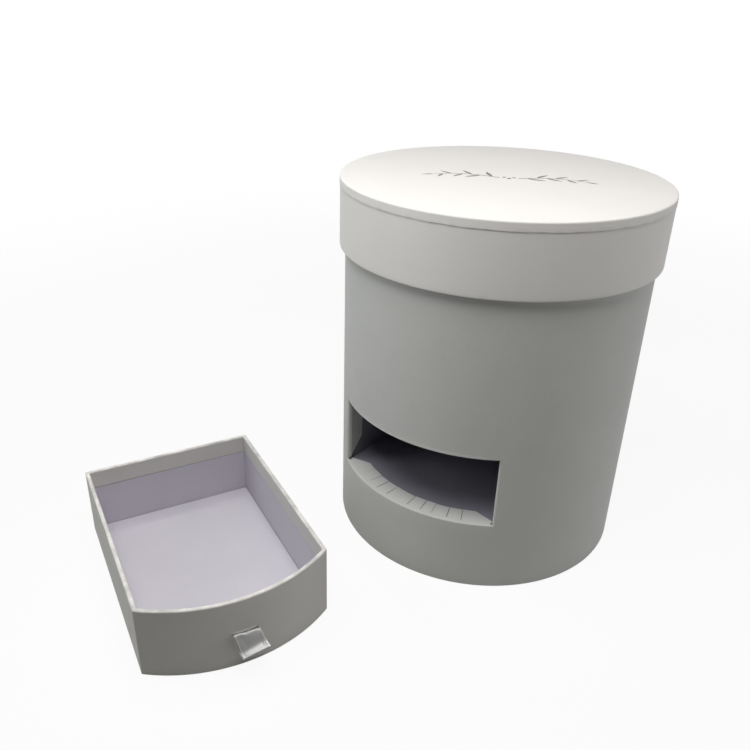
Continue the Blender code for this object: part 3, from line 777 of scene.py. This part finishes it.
# The skirt's fall, its lean under the round edge, how far it is pressed in, and the edge's radius
SKIRT_DROP = 0.0055
SKIRT_LEAN = 0.0004
SKIRT_PRESS = 0.00028
SKIRT_ROUND = 0.0016
SKIRT_WAVE = 0.00035
SKIRT_WAVE_SIZE = 0.012
# The skirt's small folds: number, depth, patches, straying, least share, and the angle with the most
GATHER_COUNT = 68
GATHER_SHARE = 0.55
GATHER_PATCHES = 9.0
GATHER_STRAY = 5.0
GATHER_LEAST = 0.45
GATHER_MOST_AT = 0.6
# A painted shade in faint patches along the skirt's lower edge: its reach, patch size and depth
SEAM_SHADE_REACH = 0.0022
SEAM_SHADE_SIZE = 0.006
SEAM_SHADE_DEPTH = 0.10
# Room above the paper for the foil
FOIL_RISE = 0.00005
LID_STEPS = 360
LID_WAVE = 0.00004
LID_WAVE_SIZE = 0.035
LID_WAVE_EDGE = 0.02
LID_FLAT = 0.090
LID_SHADE = "#f4f2f0"


def lid_wrap_profile(sink):
    """The rim's wrap seen edge-on, from under the top's skirt down and in round the lower edge."""
    return trace([
        (LID_OUTER - sink, LID_WRAP_TOP, 0, 16),
        (LID_OUTER - sink, LID_LOW + sink, FOLD - sink, 1),
        (LID_INNER + sink, LID_LOW + sink, FOLD - sink, 6),
        (LID_INNER + sink, LID_LOW + TURN_IN, 0, 1),
    ])


def lid_rim_wrap():
    """The rim's strip, with its lap at the back."""
    shape = bmesh.new()
    rows = []
    for low, under in zip(lid_wrap_profile(0.0), lid_wrap_profile(LAP_SINK)):
        row = []
        for angle in spaced(-math.pi - LAP / 2, math.pi + LAP / 2, LID_STEPS // 2):
            point = lapped(low, under, angle)
            place = around(point.x, angle, point.y)
            inside = smooth((LID_OUTER - TURN_EASE - low.x) / TURN_EASE)
            waviness = abs(ripple(place, TURN_RIPPLE_SIZE, seed=5.0))
            row.append(place + around(TURN_RIPPLE * inside * waviness, angle, 0.0))
        rows.append(row)
    patch(shape, rows)
    facing = ((LID_OUTER, 0.0, LID_LOW + TURN_IN), (1.0, 0.0, 0.0))
    return sheet_piece("lid_rim_wrap_paper", shape, lid_finish, PAPER, facing)


def lid_surface(x, y):
    """Level of the lid's top at a place: flat board under paper that isn't quite even."""
    uneven = 0.5 + 0.5 * ripple((x, y, 0.0), LID_WAVE_SIZE, seed=2.0)
    inside = smooth((LID_OUTER - math.hypot(x, y)) / LID_WAVE_EDGE)
    return LID_TOP - FOIL_RISE - LID_WAVE * uneven * inside


def gather(angle):
    """How far the skirt stands off at an angle, from 0 to 1: small folds, more of them at the left."""
    share = angle / math.tau
    ring = Vector((math.sin(angle) * GATHER_PATCHES, math.cos(angle) * GATHER_PATCHES, 4.0))
    uneven = 0.5 + 0.5 * noise.noise(ring)
    folds = abs(math.sin(math.pi * GATHER_COUNT * share + GATHER_STRAY * uneven))
    more = smooth(0.5 - math.sin(angle + GATHER_MOST_AT) * 0.8)
    return (GATHER_LEAST + (1 - GATHER_LEAST) * more) * uneven * folds ** 3


def lid_top_paper():
    """The top's sheet, its rounded edge and its gathered skirt."""
    shape = bmesh.new()
    line = trace([
        (0.0, 0.0, 0, 1),
        (LID_FLAT, 0.0, 0, 8),
        (SKIRT_OUTER, 0.0, SKIRT_ROUND, 8),
        (SKIRT_OUTER, -SKIRT_DROP, 0, 1),
    ])
    line = [Vector((ring / 100, 0.0)) for ring in range(round(LID_FLAT * 100))] + line[1:]
    rows = []
    for point in line:
        row = []
        for angle in spaced(0.0, math.tau, LID_STEPS):
            down = smooth(-point.y / SKIRT_DROP)
            edge = SKIRT_WAVE * ripple(around(SKIRT_OUTER, angle, 0.0), SKIRT_WAVE_SIZE, seed=6.0) * down
            radius = point.x
            if point.y < 0:
                radius -= SKIRT_LEAN * (1 - down) * smooth(-point.y / SKIRT_ROUND)
                radius -= SKIRT_PRESS * (1 - GATHER_SHARE * gather(angle)) * down
            place = around(radius, angle, 0.0)
            place.z = lid_surface(place.x, place.y) + point.y + edge
            row.append(place)
        rows.append(row)
    patch(shape, rows)
    facing = ((0.05, 0.0, LID_TOP), (0.0, 0.0, 1.0))
    return sheet_piece("lid_top_sheet", shape, lid_finish, PAPER, facing)


seam_shade = (LID_TOP - SKIRT_DROP, SEAM_SHADE_REACH, SEAM_SHADE_SIZE, SEAM_SHADE_DEPTH)
# Smoother and whiter than the wall's, with a faint painted shade in patches along the skirt's edge
lid_finish = pulp_paper(
    "white_cover_paper_calendered", LID_SHADE, roughness=0.70, grain_depth=0.000012, clouds=0.02,
    seam=seam_shade,
)
for piece, node in ((lid_rim_wrap(), "lid_rim_wrap"), (lid_top_paper(), "lid_top_paper")):
    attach(piece, "lid")
    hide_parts(node)
dress("lid_top_lining", lining_finish)
lining_tube("lid_rim_lining_paper", "lid_rim_lining", "lid")


# The sprig on the lid
# A plain spray of leaves with three berries, in dull silver foil stamped hot on the lid's paper, near
# its middle. It is a film of next to no thickness, and follows the paper's waves.
FOIL_SUNK = 0.00005
FOIL_DENT = 0.00001
FOIL_SHADE = "#6f6d6b"
SPRIG_PLACE = (0.004, -0.002)
SPRIG_TURN = math.radians(30.0)
TWIG_START = 0.006
TWIG_LENGTH = 0.042
TWIG_BOW = 0.0055
TWIG_HALF = 0.00055
TWIG_TAPER = 0.6
TWIG_STEPS = 30
LEAF_COUNT = 6
FIRST_LEAF = 0.12
LEAF_LEAN = 1.0
LEAF_GAP = 0.0009
LEAF_LENGTH = 0.013
LEAF_BEND = 0.12
LEAF_PLUMP = 0.11
LEAF_TAPER = 0.4
LEAF_BELLY = 0.8
LEAF_TIP = 0.00004
LEAF_STEPS = 12
BERRY_TIP = 0.00003
BERRY_STEPS = 16
# Along, across, radius
BERRIES = ((0.0, -0.0010, 0.0014), (0.0031, 0.0016, 0.0012), (-0.0031, 0.0016, 0.0012))


def foil_stroke(shape, line, halves):
    """Adds a closed stroke of foil along a line of places, with its half width at each."""
    rings = []
    for index, spot in enumerate(line):
        run = (line[min(index + 1, len(line) - 1)] - line[max(index - 1, 0)]).normalized()
        ring = []
        for side, rise in ((-1, -FOIL_SUNK), (-1, FOIL_RISE), (1, FOIL_RISE), (1, -FOIL_SUNK)):
            place = spot + run.orthogonal() * halves[index] * side
            ring.append(shape.verts.new((place.x, place.y, lid_surface(place.x, place.y) + rise)))
        rings.append(ring)
    for near, far in zip(rings, rings[1:]):
        for side in range(4):
            shape.faces.new((near[side], near[side - 3], far[side - 3], far[side]))
    shape.faces.new(rings[0])
    shape.faces.new(rings[-1][::-1])


def foil_twig(shape, place, mirror):
    """One bowed twig with leaves set by turns at either side of it and a last leaf at its tip. place
    turns metres along and across the sprig into a place on the lid."""
    steps = spaced(0.0, 1.0, TWIG_STEPS)
    stem = [
        Vector((mirror * (TWIG_START + TWIG_LENGTH * share), TWIG_BOW * math.sin(math.pi * share)))
        for share in steps
    ]
    halves = [TWIG_HALF * (1 - TWIG_TAPER * share) for share in steps]
    foil_stroke(shape, [place(spot) for spot in stem], halves)
    for leaf in range(LEAF_COUNT + 1):
        share = FIRST_LEAF + (1 - FIRST_LEAF) * leaf / LEAF_COUNT
        index = min(int(share * TWIG_STEPS), TWIG_STEPS - 1)
        run = (stem[index + 1] - stem[index]).normalized()
        side = 0 if leaf == LEAF_COUNT else (1 if leaf % 2 else -1)
        lean = (run + run.orthogonal() * side * LEAF_LEAN).normalized()
        root = stem[index] + lean * LEAF_GAP
        length = LEAF_LENGTH * (1 - LEAF_TAPER * share)
        bend = lean.orthogonal() * side * mirror * LEAF_BEND
        along = spaced(0.0, 1.0, LEAF_STEPS)
        line = [root + lean * length * part - bend * length * part ** 2 for part in along]
        swells = [math.sin(math.pi * part ** LEAF_BELLY) for part in along]
        halves = [LEAF_TIP + length * LEAF_PLUMP * swell for swell in swells]
        foil_stroke(shape, [place(spot) for spot in line], halves)


def lid_sprig():
    """Two leafy twigs, tip outwards, with three berries between them."""
    shape = bmesh.new()
    along = Vector((math.cos(SPRIG_TURN), math.sin(SPRIG_TURN)))
    across = along.orthogonal()

    def place(spot):
        return Vector(SPRIG_PLACE) + along * spot.x + across * spot.y

    foil_twig(shape, place, 1)
    foil_twig(shape, place, -1)
    for x, y, radius in BERRIES:
        chords = [math.cos(angle) for angle in spaced(0.0, math.pi, BERRY_STEPS)]
        line = [place(Vector((x - radius * chord, y))) for chord in chords]
        halves = [max(radius * math.sqrt(1 - chord ** 2), BERRY_TIP) for chord in chords]
        foil_stroke(shape, line, halves)
    return sheet_piece("lid_foil_sprig", shape, foil_finish, 0.0)


def stamped_foil():
    """Hot-stamped foil: thin pewter-grey metal film, satin bright, with the paper's grain through it."""
    material, tree = new_material("pewter_foil_hot_stamped")
    place = add(tree, "ShaderNodeTexCoord").outputs["Object"]
    grain = add(tree, "ShaderNodeTexNoise", {"Vector": place, "Scale": 1 / PAPER_FIBRE, "Detail": 4.0})
    gloss = add(
        tree, "ShaderNodeMapRange",
        {"Value": grain, "From Min": 0.3, "From Max": 0.7, "To Min": 0.34, "To Max": 0.50},
    )
    dents = add(tree, "ShaderNodeBump", {"Height": grain, "Strength": 0.6, "Distance": FOIL_DENT})
    foil = add(
        tree, "ShaderNodeBsdfPrincipled",
        {"Base Color": linear(FOIL_SHADE), "Metallic": 0.85, "Roughness": gloss, "Normal": dents},
    )
    add(tree, "ShaderNodeOutputMaterial", {"Surface": foil})
    return material


foil_finish = stamped_foil()
sprig = lid_sprig()
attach(sprig, "lid")


# The drawer
# Four walls and a base of thin board in one white wrap, folded in under the base and over the rim to a
# band inside, and mitred at the corners. The wrap is painted a shade greyer as shade, with painted light
# along the fold over the rim. The linings are lilac paper.
DRAWER_PLACE = Vector((-0.1057, -0.1811, 0.0))
DRAWER_TURN = math.radians(65.9)
DRAWER_HALF = 0.0575
DRAWER_BACK = 0.063887
DRAWER_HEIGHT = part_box("drawer_wrap")[1].z
DRAWER_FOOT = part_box("drawer_wrap")[0].z
DRAWER_RIM = 0.0026
DRAWER_BAND = 0.0125
DRAWER_CORNER = 0.0010
INNER_CORNER = 0.0002
CORNER_STEPS = 6
CORNER_GROOVE = 0.00014
FRONT_STEPS = 20
SIDE_STEPS = 12
CORNER_STRIP = 0.005
# Columns of the wrap's net: the first over the slit, and the last of the front
SLIT_COLUMN = FRONT_STEPS + 1
FRONT_LAST = 3 * FRONT_STEPS + 2
SLIT_LEFT = -0.0094
SLIT_RIGHT = 0.0066
SLIT_LOW = 0.0240
SLIT_HIGH = 0.0252
SLIT_LIP = 0.00045
SLIT_LIP_RISE = 0.0006
SLIT_DENT = 0.00016
SLIT_DENT_RISE = 0.0042
RIM_EASE = 0.0006
# Reach, size and depth of the painted light in patches along the rim's fold, and a depth below 0 is
# paler
RIM_PAINTED_LIGHT = (0.0013, 0.012, -0.52)
# The box's wrap paper, painted a shade greyer and warmer as shade
DRAWER_SHADED_PAPER = "#d2d0cd"
# The lining paper, painted a shade deeper as shade on the walls
DRAWER_WALL_PAINTED_SHADE = "#ccc9d2"
BAND_GAP = 0.0004
LINING_INSET = DRAWER_RIM - PAPER
DRAWER_LINING_ROWS = 8
# Over the ribbon's ends the lining steps in: half its width there, the step's run, and its height
ENDS_HALF = 0.0086
ENDS_EASE = 0.0008
ENDS_STEP = 0.0013
drawer_frame = Matrix.Translation(DRAWER_PLACE) @ Matrix.Rotation(DRAWER_TURN, 4, "Z")


def front_angles(limit):
    """Angles across the bowed front, with a stop at each end of the ribbon's slit."""
    stops = [-limit, math.asin(SLIT_LEFT / BOX_RADIUS), math.asin(SLIT_RIGHT / BOX_RADIUS), limit]
    angles = []
    for start, end in zip(stops, stops[1:]):
        angles += spaced(start, end, FRONT_STEPS)[:-1]
    angles.insert(1, CORNER_STRIP - limit)
    return angles + [limit - CORNER_STRIP, limit]


def drawer_plan(inset, groove=0.0):
    """The drawer's outline at an inset from its outside, closed, from the front's left end. A groove
    sets each corner's middle back towards the board."""
    radius = BOX_RADIUS - inset
    half = DRAWER_HALF - inset
    back = DRAWER_BACK - inset
    fold = max(DRAWER_CORNER - inset, INNER_CORNER)
    centre = Vector((half - fold, -math.sqrt((radius - fold) ** 2 - (half - fold) ** 2)))
    limit = bearing(centre)
    outline = [around(radius, angle, 0.0).xy for angle in front_angles(limit)]
    corners = (
        (centre, limit, math.pi / 2),
        (Vector((half - fold, back - fold)), math.pi / 2, math.pi),
        (Vector((-half + fold, back - fold)), math.pi, math.pi * 3 / 2),
        (Vector((-centre.x, centre.y)), math.pi * 3 / 2, math.tau - limit),
    )
    for middle, start, end in corners:
        arc = []
        for step, angle in enumerate(spaced(start, end, CORNER_STEPS)):
            reach = fold + (groove if step == CORNER_STEPS // 2 else 0.0)
            arc.append(middle + heading(angle) * reach)
        last = outline[-1]
        if (arc[0] - last).length > fold:
            shares = [CORNER_STRIP] + spaced(0.0, 1.0, SIDE_STEPS)[1:-1] + [1 - CORNER_STRIP]
            outline += [last.lerp(arc[0], share) for share in shares]
            outline.append(arc[0])
        outline += arc[1:]
    outline[-1] = outline[0]
    return outline


def drawer_wrap():
    """The wrap, open at the ribbon's slit."""
    shape = bmesh.new()
    line = trace([
        (TURN_IN, DRAWER_FOOT, 0, 4),
        (0.0, DRAWER_FOOT, FOLD, 8),
        (0.0, SLIT_LOW, 0, 1),
        (0.0, SLIT_HIGH, 0, 3),
        (0.0, SLIT_HIGH + SLIT_LIP_RISE, 0, 2),
        (0.0, SLIT_HIGH + SLIT_DENT_RISE, 0, 8),
        (0.0, DRAWER_HEIGHT, FOLD, 1),
        (DRAWER_RIM, DRAWER_HEIGHT, FOLD, 6),
        (DRAWER_RIM, DRAWER_HEIGHT - DRAWER_BAND, 0, 1),
    ])
    slit_row = min(range(len(line)), key=lambda place: abs(line[place].y - SLIT_LOW) + line[place].x)
    rows = []
    for index, point in enumerate(line):
        turned = smooth((point.x - DRAWER_RIM / 2) / RIM_EASE) * (point.y > DRAWER_HEIGHT / 2)
        row = []
        for column, spot in enumerate(drawer_plan(point.x, CORNER_GROOVE * turned)):
            lip = 0.0
            across = 2 * (column - SLIT_COLUMN) / FRONT_STEPS - 1
            if index > slit_row and point.x == 0.0 and abs(across) < 1:
                rise = smooth((point.y - SLIT_HIGH) / SLIT_LIP_RISE)
                lip = SLIT_LIP * (1 - rise) * (1 - abs(across) ** 5)
                back = 1 - smooth((point.y - SLIT_HIGH) / SLIT_DENT_RISE)
                lip -= SLIT_DENT * rise * back * (1 - across ** 2)
            out = spot.normalized() * lip
            row.append((spot.x + out.x, spot.y + out.y, point.y))
        rows.append(row)
    skip = {(slit_row, column) for column in range(SLIT_COLUMN, SLIT_COLUMN + FRONT_STEPS)}
    patch(shape, rows, skip)
    facing = ((DRAWER_HALF, 0.0, DRAWER_HEIGHT / 2), (1.0, 0.0, 0.0))
    piece = sheet_piece("drawer_wrap_paper", shape, drawer_finish, PAPER, facing)
    piece.data.transform(drawer_frame)
    return piece


def drawer_wall_lining():
    """The lining of the walls, up to the band, stepped in a little over the ribbon's glued ends."""
    shape = bmesh.new()
    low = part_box("drawer_wall_lining")[0].z
    high = DRAWER_HEIGHT - DRAWER_BAND - BAND_GAP
    rows = []
    for level in spaced(low, high, DRAWER_LINING_ROWS):
        row = []
        for column, spot in enumerate(drawer_plan(DRAWER_RIM)):
            near = 0.0
            if column <= FRONT_LAST:
                beside = abs(spot.x - (SLIT_LEFT + SLIT_RIGHT) / 2) - ENDS_HALF
                near = 1 - smooth(beside / ENDS_EASE)
            back = spot.normalized() * (ENDS_STEP * near)
            row.append((spot.x - back.x, spot.y - back.y, level))
        rows.append(row)
    patch(shape, rows)
    facing = ((DRAWER_HALF, 0.0, high / 2), (-1.0, 0.0, 0.0))
    piece = sheet_piece("drawer_wall_lining_paper", shape, shaded_wall_finish, PAPER, facing)
    piece.data.transform(drawer_frame)
    return piece


rim_light = (DRAWER_HEIGHT, *RIM_PAINTED_LIGHT)
# As the box's wrap, painted a shade greyer as shade, and with painted light along the rim's fold
drawer_finish = pulp_paper(
    "white_wrapping_paper_painted_rim_light", DRAWER_SHADED_PAPER, roughness=0.78, grain_depth=0.00002, seam=rim_light,
)
# As the other linings, painted a shade deeper as shade on the walls
shaded_wall_finish = pulp_paper(
    "lilac_wall_paper_painted_shade", DRAWER_WALL_PAINTED_SHADE, roughness=0.80, grain_depth=0.000015, clouds=0.03,
)
for piece, node in ((drawer_wrap(), "drawer_wrap"), (drawer_wall_lining(), "drawer_wall_lining")):
    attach(piece, "drawer")
    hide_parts(node)
dress("drawer_base_paper", wrap_finish)
dress("drawer_floor_lining", lining_finish)


# The ribbon pull
# A loop of 16 mm polyester satin ribbon, silver grey with a painted highlight along each edge, pushed
# through the slit from inside. Its two ends are glued down behind the front, and the folded loop hangs a
# little off straight.
RIBBON = 0.0003
RIBBON_WIDTH = 0.016
RIBBON_MIDDLE = -0.001
RIBBON_LEVEL = 0.0247
RIBBON_REACH = 0.0106
RIBBON_DROP = 0.0076
RIBBON_SIDESTEP = 0.0022
RIBBON_LEAN = math.radians(10.0)
# The loop's slope against its steepest: at the slit, where it is full, and how it flares out again
RIBBON_SLIT_TILT = 0.4
RIBBON_STEEP_AT = 0.18
RIBBON_FLARE_FROM = 0.38
RIBBON_FLARE_RUN = 0.5
RIBBON_FLARE = 0.75
# The upper strand is gathered at the slit, and set a little to the right
STRAND_PINCH = 0.06
STRAND_SHIFT = 0.0001
RIBBON_ROOT_GAP = 0.0003
RIBBON_BULGE = 0.0006
RIBBON_FOLD = 0.0006
RIBBON_CREASE = 0.0002
RIBBON_TAIL = 0.014
RIBBON_STEPS = 30
RIBBON_COLUMNS = 40
FOLD_END_STEPS = 10
ENDS_COLUMNS = 12
# A little under the ribbon's own, so that the two ends lie apart
ENDS_THICKNESS = RIBBON * 0.98
EDGE_RIDGE = 0.00015
EDGE_GROOVE = 0.0002
# Place across at the slit, and how far it has moved at the loop's end
RIDGE_PLACE = (-0.0062, -0.0009)
GROOVE_PLACE = (0.0071, -0.0014)
RIDGE_WIDTH = 0.0006
RIDGE_EASE = 0.25
RIDGE_END = 1.05
# Place across, width, rise, and share of the way out at which it starts
PUCKERS = ((-0.0046, 0.0013, 0.00042, 0.06), (-0.0012, 0.0014, -0.0002, 0.0))
PUCKER_RISE = 0.18
PUCKER_FADE = 0.35
SATIN_SHADE = "#3c3e3c"
# Width and gain of a painted highlight, a paler band along each edge
EDGE_HIGHLIGHT_WIDTH = 0.0009
EDGE_HIGHLIGHT_GAIN = 4.5
SATIN_THREAD = 0.00035
SATIN_THREAD_DEPTH = 0.000015
SATIN_SLUB = 0.0011
# Metres from band to band of the wave pattern at a scale of 1
WAVE_PITCH = 0.314


def satin():
    """Polyester satin: long floats of bright yarn that give a broad silvery sheen over a grey cloth, a
    fine line for each thread, and a painted highlight, a paler band, along each edge. The thread is
    really 0.1 mm, and is drawn coarser so that it shows. The floats shine more than polyester's IOR of
    1.6."""
    material, tree = new_material("polyester_satin_woven")
    place = add(tree, "ShaderNodeTexCoord").outputs["UV"]
    thread = add(
        tree, "ShaderNodeTexWave",
        {"Vector": place, "Scale": WAVE_PITCH / SATIN_THREAD, "Distortion": 1.5, "Detail": 2.0,
         "Detail Scale": 1.0},
        wave_type="BANDS", bands_direction="X",
    )
    slub = add(tree, "ShaderNodeTexNoise", {"Vector": place, "Scale": 1 / SATIN_SLUB, "Detail": 3.0})
    shift = add(
        tree, "ShaderNodeMapRange",
        {"Value": slub, "From Min": 0.3, "From Max": 0.7, "To Min": 0.94, "To Max": 1.06},
    )
    across = add(tree, "ShaderNodeSeparateXYZ", {"Vector": place}).outputs["X"]
    off = add(tree, "ShaderNodeMath", {0: across, 1: RIBBON_WIDTH / 2}, operation="SUBTRACT")
    away = add(tree, "ShaderNodeMath", {0: off}, operation="ABSOLUTE")
    edge_highlight = add(
        tree, "ShaderNodeMapRange",
        {"Value": away, "From Min": RIBBON_WIDTH / 2 - EDGE_HIGHLIGHT_WIDTH,
         "From Max": RIBBON_WIDTH / 2 - EDGE_HIGHLIGHT_WIDTH / 2, "To Min": 1.0, "To Max": EDGE_HIGHLIGHT_GAIN},
    )
    slub_and_edge_highlight = add(tree, "ShaderNodeMath", {0: shift, 1: edge_highlight}, operation="MULTIPLY")
    tone = add(tree, "ShaderNodeHueSaturation", {"Color": linear(SATIN_SHADE), "Value": slub_and_edge_highlight})
    gloss = add(
        tree, "ShaderNodeMapRange",
        {"Value": slub, "From Min": 0.3, "From Max": 0.7, "To Min": 0.30, "To Max": 0.36},
    )
    weave = add(
        tree, "ShaderNodeBump",
        {"Height": thread.outputs["Fac"], "Strength": 0.5, "Distance": SATIN_THREAD_DEPTH},
    )
    cloth = add(
        tree, "ShaderNodeBsdfPrincipled",
        {"Base Color": tone, "Roughness": gloss, "IOR": 2.3, "Sheen Weight": 0.2,
         "Sheen Roughness": 0.3, "Normal": weave},
    )
    add(tree, "ShaderNodeOutputMaterial", {"Surface": cloth})
    return material


def woven(shape, net):
    """Lays metres across and along the ribbon over a net of its faces, for the weave."""
    layer = shape.loops.layers.uv.verify()
    places = {}
    along = 0.0
    for index, row in enumerate(net):
        if index:
            along += (row[0].co - net[index - 1][0].co).length
        for column, vert in enumerate(row):
            places[vert] = (RIBBON_WIDTH * column / (len(row) - 1), along)
    for face in shape.faces:
        for corner in face.loops:
            if corner.vert in places:
                corner[layer].uv = places[corner.vert]
    return along


def ribbon_line():
    """The loop seen from the side: (place, share of the way out, strand), with strand 1 on top. It
    leaves the slit tilted, is steepest just below it, and flares out again towards its end."""
    root = (RIBBON + RIBBON_ROOT_GAP) / 2
    steeps = []
    for share in [(step + 0.5) / RIBBON_STEPS for step in range(RIBBON_STEPS)]:
        flare = RIBBON_FLARE * smooth((share - RIBBON_FLARE_FROM) / RIBBON_FLARE_RUN)
        tilt = RIBBON_SLIT_TILT + (1 - RIBBON_SLIT_TILT) * smooth(share / RIBBON_STEEP_AT)
        steeps.append(tilt * (1 - flare))
    slopes = [RIBBON_DROP / RIBBON_REACH * steep * RIBBON_STEPS / sum(steeps) for steep in steeps]
    upper = []
    lower = []
    fallen = 0.0
    for step in range(RIBBON_STEPS + 1):
        share = step / RIBBON_STEPS
        slope = (slopes[max(step - 1, 0)] + slopes[min(step, RIBBON_STEPS - 1)]) / 2
        length = math.hypot(1, slope)
        spread = root + (RIBBON_FOLD - root) * share + RIBBON_BULGE * math.sin(math.pi * share)
        middle = Vector((-RIBBON_REACH * share, -fallen))
        lift = Vector((-slope / length * spread, spread / length))
        upper.append((middle + lift, share, 1.0))
        lower.append((middle - lift, share, -1.0))
        if step < RIBBON_STEPS:
            fallen += slopes[step] * RIBBON_REACH / RIBBON_STEPS
    tip = Vector((-RIBBON_REACH, -fallen))
    ahead = Vector((-1.0, -slopes[-1])).normalized()
    above = -ahead.orthogonal()
    fold = []
    for angle in spaced(0.0, math.pi, FOLD_END_STEPS)[1:-1]:
        point = tip + above * RIBBON_FOLD * math.cos(angle) + ahead * RIBBON_FOLD * math.sin(angle)
        fold.append((point, 1.0, math.cos(angle)))
    return upper + fold + lower[::-1]


def ribbon_loop():
    """The loop in front of the slit."""
    shape = bmesh.new()
    line = ribbon_line()
    rows = []
    for index, (point, share, strand) in enumerate(line):
        before = line[max(index - 1, 0)][0]
        after = line[min(index + 1, len(line) - 1)][0]
        run = (after - before).normalized()
        across = run.orthogonal()
        left = RIDGE_PLACE[0] + RIDGE_PLACE[1] * share
        right = GROOVE_PLACE[0] + GROOVE_PLACE[1] * share
        row = []
        for column in range(RIBBON_COLUMNS + 1):
            x = RIBBON_WIDTH * (column / RIBBON_COLUMNS - 0.5)
            ridge = EDGE_RIDGE * math.exp(-((x - left) / RIDGE_WIDTH) ** 2)
            ridge -= EDGE_GROOVE * math.exp(-((x - right) / RIDGE_WIDTH) ** 2)
            hump = ridge * smooth(share / RIDGE_EASE) * smooth((RIDGE_END - share) / RIDGE_EASE)
            for place, width, rise, start in PUCKERS:
                swell = smooth((share - start) / PUCKER_RISE)
                swell *= 1 - smooth((share - start - PUCKER_RISE) / PUCKER_FADE)
                hump += rise * swell * math.exp(-((x - place) / width) ** 2)
            hump *= strand > 0
            spot = point + across * hump
            angle = RIBBON_LEAN * (-spot.x / RIBBON_REACH)
            if strand > 0:
                x = x * (1 - STRAND_PINCH * (1 - share)) + STRAND_SHIFT * (1 - share)
            row.append((
                RIBBON_MIDDLE + x * math.cos(angle) + RIBBON_SIDESTEP * (-spot.x / RIBBON_REACH),
                -BOX_RADIUS - RIBBON_ROOT_GAP + spot.x,
                RIBBON_LEVEL + spot.y + x * math.sin(angle),
            ))
        rows.append(row)
    length = woven(shape, patch(shape, rows))
    facing = ((0.0, -BOX_RADIUS - 0.003, RIBBON_LEVEL), (0.0, -0.3, 1.0))
    return sheet_piece("ribbon_loop", shape, satin_finish, RIBBON, facing), length


def ribbon_ends():
    """The two ends: through the slit side by side, then down behind the front."""
    shape = bmesh.new()
    length = 0.0
    edge = RIBBON_WIDTH / 2 - RIBBON_MIDDLE
    inner = BOX_RADIUS - LINING_INSET + GLUE
    mouth = -math.sqrt(BOX_RADIUS ** 2 - edge ** 2)
    glued = -math.sqrt(inner ** 2 - edge ** 2) + GLUE
    for layer in (0, 1):
        level = RIBBON_LEVEL + RIBBON * layer
        down = glued + RIBBON * (layer + 1)
        line = trace([
            (mouth, level, 0, 2),
            (down, level, RIBBON_CREASE, 10),
            (down, RIBBON_LEVEL - RIBBON_TAIL, 0, 1),
        ])
        across = spaced(-RIBBON_WIDTH / 2, RIBBON_WIDTH / 2, ENDS_COLUMNS)
        rows = [[(RIBBON_MIDDLE + place, point.x, point.y) for place in across] for point in line]
        length += woven(shape, patch(shape, rows))
    facing = ((0.0, glued, RIBBON_LEVEL - RIBBON_TAIL), (0.0, 1.0, 0.0))
    return sheet_piece("ribbon_ends", shape, satin_finish, ENDS_THICKNESS, facing), length


satin_finish = satin()
for (piece, length), node, body in (
    (ribbon_loop(), "ribbon_pull", "pull"), (ribbon_ends(), "ribbon_tails", "drawer"),
):
    piece.data.transform(drawer_frame)
    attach(piece, body)
    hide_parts(node)
